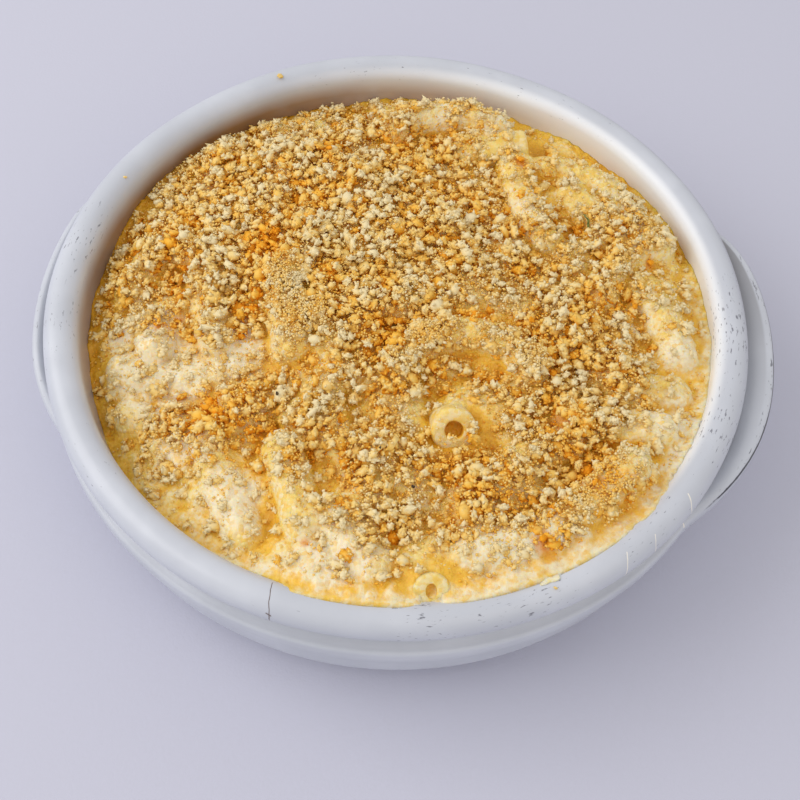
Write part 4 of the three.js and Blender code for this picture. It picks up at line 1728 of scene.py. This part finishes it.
@dataclass
class OpenElbows:
    """The elbows whose cut ends show, each a soft tube with a rounded lip and a blind bore in painted shade.

    The lip and the bore are those of an elbow of usual girth, and shrink with a thinner one.
    """

    filling: Filling
    sides: int = 40
    lip: float = 1.1
    inner_lip: float = 0.5
    bore_depth: float = 6.5
    bore_taper: float = 0.02
    usual_girth: float = 4.8
    flatness: float = 0.94
    sag: float = 0.05
    sag_size: float = 1.6
    sag_reach: float = 2.5
    sag_drift: float = 0.3
    end_rows: int = 6
    side_rows: int = 14
    lip_rows: int = 7
    inner_lip_rows: int = 5
    bore_rows: int = 8
    lip_shade: float = 0.35
    bore_shade: Pair = (0.6, 1.4)
    shade_depth: float = 4.0
    look_ahead: float = 0.4
    cream: float = 0.1
    dust: float = 0.3

    def tube(self, line: Array, elbow: Elbow, seed: int) -> tuple[Array, list[Array], Array]:
        """One tube, from its buried round end to its open mouth and down the bore.

        Args:
            line: The tube's middle line.
            elbow: Which elbow it is.
            seed: Which of the uneven shapes it takes.

        Returns:
            Its points, its quads and triangles, and the painted shade of each point, which grows at the
            lip and deeper in the bore.
        """
        grain = Grain(SEED + 30 + seed)
        radius = elbow.girth
        scale = radius / self.usual_girth
        bore = scale * self.filling.bore_radius
        lip, inner_lip = scale * self.lip, scale * self.inner_lip
        length = np.concatenate([[0], np.cumsum(np.linalg.norm(np.diff(line, axis=0), axis=1))])
        total = length[-1]
        stations: list[Triple] = []
        for turn in np.linspace(0.1, 1, self.end_rows) * math.pi / 2:
            stations.append((radius * (1 - math.cos(turn)), radius * math.sin(turn), 0))
        for place in np.linspace(radius, total - lip, self.side_rows)[1:]:
            stations.append((place, radius, 0))
        for turn in np.linspace(0, math.pi / 2, self.lip_rows)[1:]:
            stations.append((total - lip + lip * math.sin(turn), radius - lip * (1 - math.cos(turn)), 0))
        for turn in np.linspace(0, math.pi / 2, self.inner_lip_rows):
            reach = bore + inner_lip * (1 - math.sin(turn))
            stations.append((total - inner_lip * (1 - math.cos(turn)), reach, self.lip_shade * turn))
        # Painted shade down the bore: darker the deeper in.
        first_shade, last_shade = self.bore_shade
        for depth in np.linspace(inner_lip, self.bore_depth, self.bore_rows)[1:]:
            shade = min(first_shade + depth / self.shade_depth, last_shade)
            stations.append((total - depth, bore * (1 - self.bore_taper * depth), shade))
        rings = []
        around = np.arange(self.sides) * FULL_TURN / self.sides
        for place, reach, _ in stations:
            behind, ahead = along(line, length, place + self.look_ahead * np.array([-1, 1]))
            ahead = ahead - behind
            tangent = ahead / np.linalg.norm(ahead)
            side = np.cross(tangent, (0, 0, 1))
            side /= np.linalg.norm(side)
            up = np.cross(side, tangent)
            run, rise = self.sag_reach * np.cos(around), self.sag_reach * np.sin(around)
            sag = 1 + self.sag * grain.at(run + place * self.sag_drift, rise, self.sag_size)
            narrow = elbow.squeeze if reach < bore + inner_lip else 1.0
            spokes = narrow * np.cos(around)[:, None] * side + self.flatness * np.sin(around)[:, None] * up
            rings.append(along(line, length, place) + reach * sag[:, None] * spokes)
        shades = np.repeat([shade for _, _, shade in stations], self.sides)
        return *capped(rings), np.concatenate([shades, [0.0, last_shade]])

    def build(self, finish: CheeseSauce) -> Piece:
        """Make all the open elbows as one piece.

        Args:
            finish: What they are coated with.

        Returns:
            The finished piece.
        """
        points, quads, triangles, deep = [], [], [], []
        first = 0
        for seed, (elbow, line) in enumerate(self.filling.opened()):
            tube_points, tube_faces, shades = self.tube(line, elbow, seed)
            points.append(tube_points)
            quads.append(tube_faces[0] + first)
            triangles.append(tube_faces[1] + first)
            deep.append(shades)
            first += len(tube_points)
        # The bores' painted shade goes into the same attribute as the sauce's hollows.
        tints = sauce_tints(first, hollow=np.concatenate(deep), cream=self.cream, dust=self.dust)
        faces = [np.concatenate(quads), np.concatenate(triangles)]
        return make_piece("open_elbows", np.concatenate(points), faces, finish.material(), **tints)


# ---- crumb topping -------------------------------------------------------------------------------


class Crumb(Enum):
    """The kinds of flake in the topping, in the order in which they fell."""

    GOLDEN = "crumbs_golden"
    CLUMP = "crumb_clumps"
    PALE = "crumbs_pale"
    FINES = "crumb_fines"


@dataclass(frozen=True)
class CrumbBatch:
    """One kind of flake: how many there are, how large, how finely built up and how brown."""

    kind: Crumb
    count: int
    small: float
    large: float
    subdivisions: int
    grains: int
    grain_size: Pair
    toast: Pair
    spread: float


BATCHES = (
    CrumbBatch(Crumb.GOLDEN, 1650, 2.1, 4.1, 1, 12, (0.34, 0.6), (0.14, 0.62), 1.15),
    CrumbBatch(Crumb.CLUMP, 850, 2.8, 4.8, 1, 24, (0.26, 0.46), (0.08, 0.55), 1.4),
    CrumbBatch(Crumb.PALE, 1500, 1.6, 3.4, 1, 12, (0.34, 0.62), (0.0, 0.5), 1.5),
    CrumbBatch(Crumb.FINES, 9000, 0.6, 1.5, 0, 0, (1.0, 1.0), (0.15, 0.55), 1.6),
)

DRIFTS = table(
    Spot,
    (-34, 18, 30, 1.0), (-12, 32, 26, 0.95), (6, 20, 22, 0.9), (-6, 0, 22, 0.95), (38, 6, 12, 0.85),
    (34, -8, 12, 0.85), (46, -11, 8, 0.6), (36, -25, 11, 0.85), (44, -38, 9, 0.75), (22, -42, 13, 0.8),
    (7, -50, 8, 0.65), (1, -38, 10, 0.6), (-27, -32, 9, 0.85), (-12, -36, 9, 0.6), (-57, -5, 7, 0.6),
    (-40, -38, 8, 0.35), (-8, 52, 9, 0.55), (44, 26, 10, 0.35), (24, -20, 8, 0.4),
)

BARE = table(
    Spot,
    (17, -23, 7.5, 1.0), (-24, 3, 5, 0.7), (-9, -3, 4, 0.5), (18, 12, 4, 0.5), (-2, 55, 6, 0.5),
    (20, -6, 7, 0.75), (-13, -14, 6, 0.8), (24, 33, 8, 0.8), (18, 55, 8, 0.9), (57, 7, 8, 0.9),
    (55, 24, 6, 0.7), (-31, -17, 8, 0.7), (-48, -22, 12, 0.85), (-26, -51, 7, 0.8), (0, -62, 8, 0.9),
    (30, -58, 9, 0.85), (62, -22, 9, 0.8), (12, -60, 6, 0.9), (40, 50, 10, 0.7),
)


@dataclass
class CrumbTopping:
    """The toasted flakes, dropped one after another so that each lies on what fell before it."""

    filling: Filling
    relief: Relief
    wall_clearance: float = 0.4
    top_z: float = 39.9
    thickest: Pair = (1.2, 1.6)
    templates: int = 30
    # Reach of the mean pile height that the painted shade down in the pile is measured against.
    depth_shade_reach: float = 1.8
    core_share: float = 0.9
    squat: float = 0.66
    shard_at: Pair = (0.6, 0.95)
    shard_thinness: float = 0.8
    shard_tone: Pair = (-0.03, 0.07)
    # Toasting and painted shade on each flake's lower side: how much browner it is per unit lower.
    underside_toast_and_shade: float = 0.4
    size_bias: Pair = (1.6, 2.6)
    rest_share: float = 0.1
    top_share: float = 0.55
    dome_share: float = 0.3
    lean: float = 0.35
    patch_size: float = 5.0
    patch_tone: float = 0.24
    browned_tone: float = 0.35
    # Painted shade down in the pile: how much browner a point is per millimetre below what is round it, and
    # its limits.
    depth_shade_tone: float = 0.27
    depth_shade_limit: Pair = (-1.2, 1.6)
    pile: Array = field(default_factory=lambda: np.zeros((1, 1)))
    covers: Array = field(default_factory=lambda: np.zeros((1, 1)))
    fallen: dict[Crumb, tuple[Array, Array]] = field(default_factory=dict)

    def __post_init__(self) -> None:
        """Start from the bare food."""
        self.half = self.relief.half
        self.step = self.relief.step
        self.pile = self.relief.heights.copy()
        side = np.arange(len(self.pile)) * self.step - self.half
        x, y = np.meshgrid(side, side, indexing="ij")
        self.covers = self.filling.crumb_cover(x, y)

    def cell(self, x: float, y: float) -> tuple[int, int]:
        """Which of the raster's points a place lies at."""
        return int((x + self.half) / self.step), int((y + self.half) / self.step)

    def wanted(self, x: float, y: float) -> float:
        """How likely a flake is to stay at a place: less where the topping already lies thick.

        Args:
            x: The place along X.
            y: The place along Y.

        Returns:
            A value from 0 to 1.
        """
        cell = self.cell(x, y)
        thick = self.pile[cell] - self.relief.heights[cell]
        return self.covers[cell] * (1 - float(ease((thick - self.thickest[0]) / self.thickest[1])))

    def shapes(self, batch: CrumbBatch, draw: np.random.Generator) -> tuple[Array, Array, Array]:
        """Torn flakes about one unit across, each a small core bristling with slivers.

        Args:
            batch: Which kind of flake.
            draw: Where the random numbers come from.

        Returns:
            The points of each shape, the faces that they all share, and how much browner each point is,
            more on its lower side, partly as toasting and partly as painted shade.
        """
        core, core_faces = ball(batch.subdivisions)
        shard, shard_faces = ball(0)
        faces = [core_faces]
        faces += [shard_faces + len(core) + k * len(shard) for k in range(batch.grains)]
        shapes, browner = [], []
        for _ in range(self.templates):
            body = torn(core, draw)
            points = [self.core_share * body]
            tones = [np.zeros(len(core))]
            for _ in range(batch.grains):
                at = draw.uniform(*self.shard_at) * body[draw.integers(len(body))]
                points.append(torn(shard, draw, self.shard_thinness) * draw.uniform(*batch.grain_size) + at)
                tones.append(np.full(len(shard), draw.normal(*self.shard_tone)))
            shapes.append(np.concatenate(points) * (1, 1, self.squat))
            # Each flake's lower side is painted browner, partly as toasting and partly as painted shade.
            browner.append(np.concatenate(tones) - self.underside_toast_and_shade * shapes[-1][:, 2])
        return np.array(shapes), np.concatenate(faces), np.array(browner)

    def drop(self, batch: CrumbBatch, draw: np.random.Generator) -> None:
        """Let one kind of flake fall on the pile, and keep the centre and the size of each.

        Args:
            batch: Which kind of flake.
            draw: Where the random numbers come from.
        """
        dish = self.filling.dish
        centres, sizes = [], []
        while len(centres) < batch.count:
            size = batch.small + (batch.large - batch.small) * draw.beta(*self.size_bias)
            limit = dish.inner_wall_radius - self.wall_clearance - size / 2
            radius = limit * math.sqrt(draw.random())
            angle = FULL_TURN * draw.random()
            x, y = radius * math.cos(angle), radius * math.sin(angle)
            if draw.random() > self.wanted(x, y) ** batch.spread:
                continue
            i, j = self.cell(x, y)
            n = max(int(0.5 * size / self.step), 1)
            patch = self.pile[i - n : i + n + 1, j - n : j + n + 1]
            z = min(float(patch.mean()) + self.rest_share * size, self.top_z - self.top_share * size)
            across = np.arange(-n, n + 1) * self.step
            away = (across[:, None] ** 2 + across[None, :] ** 2) / (0.5 * size) ** 2
            dome = z + self.dome_share * size * np.sqrt(np.maximum(1 - away, 0))
            np.maximum(patch, np.where(away < 1, dome, -1e3), out=patch)
            centres.append((x, y, z))
            sizes.append(size)
        self.fallen[batch.kind] = np.array(centres), np.array(sizes)

    def build(self, batch: CrumbBatch, finish: ToastedCrumb, draw: np.random.Generator) -> Piece:
        """Make one kind of flake as one piece, once every kind has fallen.

        Args:
            batch: Which kind of flake.
            finish: What the flakes are made of.
            draw: Where the random numbers come from.

        Returns:
            The finished piece.
        """
        shapes, faces, browner = self.shapes(batch, draw)
        centres, sizes = self.fallen[batch.kind]
        around = Relief(self.half, self.step, self.pile).blurred(self.depth_shade_reach)
        which = draw.integers(len(shapes), size=len(centres))
        turn = FULL_TURN * draw.random(len(centres))
        lean = draw.normal(0, self.lean, (len(centres), 2))
        points = shapes[which] * sizes[:, None, None]
        points = self.leant(points, lean, turn) + centres[:, None, :]
        points[..., 2] -= np.maximum(points[..., 2].max(axis=1) - self.top_z, 0)[:, None]
        low, high = batch.toast
        brown = blend(low, high, draw.random(len(centres)))
        x, y = centres[:, 0], centres[:, 1]
        brown = brown + self.patch_tone * Grain(SEED + 11).octaves(x, y, self.patch_size, 2)
        brown = brown + self.browned_tone * spots_at(x, y, TOASTED)
        # Painted shade: points lying below the mean pile round them are painted browner.
        deep = np.clip(around.at(points[..., 0], points[..., 1]) - points[..., 2], *self.depth_shade_limit)
        tint = (brown[:, None] + browner[which] + self.depth_shade_tone * deep).ravel()
        numbers = np.arange(len(centres))[:, None, None] * shapes.shape[1] + faces[None]
        return make_piece(
            batch.kind.value,
            points.reshape(-1, 3),
            [numbers.reshape(-1, 3)],
            finish.material(),
            smooth=False,
            toast=tint,
        )

    def leant(self, points: Array, lean: Array, turn: Array) -> Array:
        """Lean each flake a little over and turn it on the spot.

        Args:
            points: Points of each flake round its own centre.
            lean: Lean of each flake about X and about Y.
            turn: Turn of each flake about Z.

        Returns:
            The leant and turned points.
        """
        x, y, z = points[..., 0], points[..., 1], points[..., 2]
        about_x, about_y, about_z = lean[:, :1], lean[:, 1:], turn[:, None]
        y, z = y * np.cos(about_x) - z * np.sin(about_x), y * np.sin(about_x) + z * np.cos(about_x)
        x, z = x * np.cos(about_y) + z * np.sin(about_y), z * np.cos(about_y) - x * np.sin(about_y)
        x, y = x * np.cos(about_z) - y * np.sin(about_z), x * np.sin(about_z) + y * np.cos(about_z)
        return np.stack([x, y, z], axis=-1)


@dataclass(frozen=True)
class Bit:
    """One loose bit: its place in plan and its size."""

    x: float
    y: float
    size: float


PEPPER = (Bit(10.4, -44.5, 0.9), Bit(-20.4, -27.8, 0.8), Bit(2.7, -38.0, 0.6))

BROWNED = table(
    Bit,
    (-5.5, 66.6, 1.2), (-56.2, 37.6, 1.3), (-22.8, 39.7, 1.5), (36.2, -52.2, 1.7), (44.7, -38.7, 1.6),
    (18.7, -1.3, 1.6), (21.5, 44.3, 1.8), (53.2, 21.4, 1.8), (50.6, 8.4, 1.5), (-34.4, -32.1, 1.6),
    (28.8, -1.5, 1.5), (-2.7, -7.3, 1.4),
)

STRAY = (Bit(-38.8, 59.5, 1.7), Bit(39.6, -60.8, 1.0), Bit(-66.5, 22.0, 0.8))


@dataclass
class Oddments:
    """The few small things that lie singly: pepper, browned bits, stray crumbs, a herb strand, a dab."""

    dish: GratinDish
    top: Relief
    top_z: float = 39.9
    strand: tuple[Pair, ...] = ((37.2, 31.6), (38.6, 30.3), (38.7, 29.2), (39.1, 28.1))
    strand_radius: float = 0.26
    strand_steps: int = 16
    strand_sides: int = 8
    strand_lift: float = 0.3
    bit_lift: float = 0.15
    rim_margin: float = 0.5
    dab_at: Pair = (38.5, -58.9)
    dab_size: Triple = (4.4, 2.0, 0.8)
    dab_swell: float = 0.35
    dab_cream: float = 0.8
    dab_dust: float = 0.3

    def height(self, x: float, y: float) -> float:
        """Height of whatever lies on top at a place: the food, or the rim further out.

        Args:
            x: The place along X.
            y: The place along Y.

        Returns:
            The height there.
        """
        food = float(self.top.at(np.array([x]), np.array([y]))[0])
        radius = math.hypot(x, y)
        inner = self.dish.rim_radius - 2 * self.dish.roll_radius
        return float(self.dish.roll_top_at(radius)) if radius > inner + self.rim_margin else food

    def bits(
        self, name: str, places: Sequence[Bit], finish: Finish, toast: float, seed: int
    ) -> Piece:
        """Make a few torn bits, each on whatever lies under it.

        Args:
            name: The piece's name.
            places: Where the bits lie and how large they are.
            finish: What they are made of.
            toast: How brown they are.
            seed: Which random shapes they take.

        Returns:
            The finished piece.
        """
        draw = np.random.default_rng(SEED + seed)
        unit, faces = ball(3)
        points = []
        for bit in places:
            centre = (bit.x, bit.y, self.height(bit.x, bit.y) + self.bit_lift * bit.size)
            shape = torn(unit, draw) * bit.size + centre
            shape[:, 2] -= max(shape[:, 2].max() - self.top_z, 0)
            points.append(shape)
        numbers = np.concatenate([faces + k * len(unit) for k in range(len(places))])
        everything = np.concatenate(points)
        brown = np.full(len(everything), toast)
        return make_piece(name, everything, [numbers], finish.material(), toast=brown)

    def herb(self, finish: HerbLeaf) -> Piece:
        """Make the strand of herb.

        Args:
            finish: What it is made of.

        Returns:
            The finished piece.
        """
        plan = np.array(self.strand)
        line = along(plan, np.arange(len(plan)), np.linspace(0, len(plan) - 1, self.strand_steps))
        around = np.arange(self.strand_sides) * FULL_TURN / self.strand_sides
        ring = np.stack([np.cos(around), 0 * around, np.sin(around)], axis=-1)
        rings = []
        for k, (x, y) in enumerate(line):
            thick = self.strand_radius * math.sin(math.pi * (k + 0.7) / (len(line) + 0.4)) ** 0.5
            rings.append(np.array([x, y, self.height(x, y) + self.strand_lift]) + thick * ring)
        points, faces = capped(rings)
        return make_piece("herb_strand", points, faces, finish.material())

    def dab(self, finish: CheeseSauce) -> Piece:
        """Make the dab of sauce that ran on to the rim.

        Args:
            finish: What it is made of.

        Returns:
            The finished piece.
        """
        unit, faces = ball(4)
        grain = Grain(SEED + 21)
        x, y = self.dab_at
        turn = math.atan2(y, x)
        swell = 1 + self.dab_swell * grain.at(4 * unit[:, 0], 4 * unit[:, 1], 1.3)
        along, across, up = (unit * np.array(self.dab_size) * swell[:, None]).T
        out = math.hypot(x, y) + across
        at = turn + along / math.hypot(x, y)
        height = self.dish.roll_top_at(out) + up
        points = np.stack([out * np.cos(at), out * np.sin(at), height], axis=-1)
        tints = sauce_tints(len(points), cream=self.dab_cream, dust=self.dab_dust)
        return make_piece("sauce_dab", points, [faces], finish.material(), **tints)


# ---- studio --------------------------------------------------------------------------------------


@dataclass(frozen=True)
class Lamp:
    """One soft square lamp that faces the dish: its place, the length of its side, power and colour."""

    name: str
    place: Triple
    size: float
    watts: float
    tint: str


@dataclass
class Studio:
    """A plain pale floor, soft window light from high on the left, a weak fill, and the camera."""

    floor_half: float = 3000.0
    camera_at: Triple = (20.01, -151.98, 243.26)
    right: Triple = (0.98614, 0.16377, 0.02670)
    up: Triple = (-0.15329, 0.83753, 0.52444)
    forward: Triple = (-0.06352, 0.52127, -0.85103)
    lens: float = 54.0
    sensor: float = 36.0
    sky: str = "e6e5e4"
    sky_strength: float = 0.9
    lamps: tuple[Lamp, ...] = (
        Lamp("window", (-700, -60, 600), 780, 4.3, "fffdfb"),
        Lamp("fill", (500, -500, 900), 900, 1.5, "fff1e2"),
    )
    clip: Pair = (0.01, 20.0)

    def floor(self, finish: PaleCloth) -> None:
        """Lay the floor that the dish stands on.

        Args:
            finish: What the floor is made of.
        """
        half = self.floor_half
        points = np.array([[-half, -half, 0], [half, -half, 0], [half, half, 0], [-half, half, 0]])
        floor = make_piece("floor", points, [np.array([[0, 1, 2, 3]])], finish.material())

    def camera(self) -> None:
        """Set up the camera."""
        data = bpy.data.cameras.new("camera")
        data.lens = self.lens
        data.sensor_width = self.sensor
        data.clip_start, data.clip_end = self.clip
        camera = bpy.data.objects.new("camera", data)
        axes = Matrix((self.right, self.up, [-part for part in self.forward])).transposed()
        camera.matrix_world = Matrix.Translation(Vector(self.camera_at) * MM) @ axes.to_4x4()
        bpy.context.scene.collection.objects.link(camera)
        bpy.context.scene.camera = camera

    def hang(self, lamp: Lamp) -> None:
        """Hang one lamp.

        Args:
            lamp: Which lamp.
        """
        data = bpy.data.lights.new(lamp.name, "AREA")
        data.size = lamp.size * MM
        data.energy = lamp.watts
        data.color = linear(lamp.tint)[:3]
        hung = bpy.data.objects.new(lamp.name, data)
        hung.location = Vector(lamp.place) * MM
        hung.rotation_euler = (-hung.location).to_track_quat("-Z", "Y").to_euler()
        bpy.context.scene.collection.objects.link(hung)

    def light(self) -> None:
        """Light the scene."""
        scene = bpy.context.scene
        scene.view_settings.view_transform = "Standard"
        world = bpy.data.worlds.new("soft_sky")
        world.use_nodes = True
        world.node_tree.nodes.clear()
        sky = add_node(world.node_tree, "Background", {"Color": self.sky, "Strength": self.sky_strength})
        add_node(world.node_tree, "OutputWorld", {"Surface": sky})
        scene.world = world
        for lamp in self.lamps:
            self.hang(lamp)


# ---- assembly ------------------------------------------------------------------------------------


def main() -> None:
    """Build the dish, its filling and its topping, and light them."""
    logging.basicConfig(level=logging.INFO, format="%(message)s")
    studio = Studio()
    studio.camera()
    studio.floor(PaleCloth())
    studio.light()

    dish = GratinDish()
    settle(dish.build(GlazedStoneware()), "dish", "dish")

    filling = Filling(dish)
    sauce = CheeseSauce()
    relief, around = filling.survey()
    food = [SauceBed(filling, around).build(sauce), OpenElbows(filling).build(sauce)]

    topping = CrumbTopping(filling, relief)
    draw = np.random.default_rng(SEED + 9)
    for batch in BATCHES:
        topping.drop(batch, draw)
    crumbs = ToastedCrumb()
    food += [topping.build(batch, crumbs, draw) for batch in BATCHES]

    oddments = Oddments(dish, Relief(topping.half, topping.step, topping.pile))
    food += [
        oddments.bits("pepper_specks", PEPPER, PepperSkin(), 0, 31),
        oddments.bits("browned_bits", BROWNED, crumbs, 1.0, 32),
        oddments.bits("stray_crumbs", STRAY, crumbs, 0.35, 33),
        oddments.herb(HerbLeaf()),
        oddments.dab(sauce),
    ]
    for piece in food:
        settle(piece, "mac_and_cheese", "mac_and_cheese")


if __name__ == "__main__":
    main()
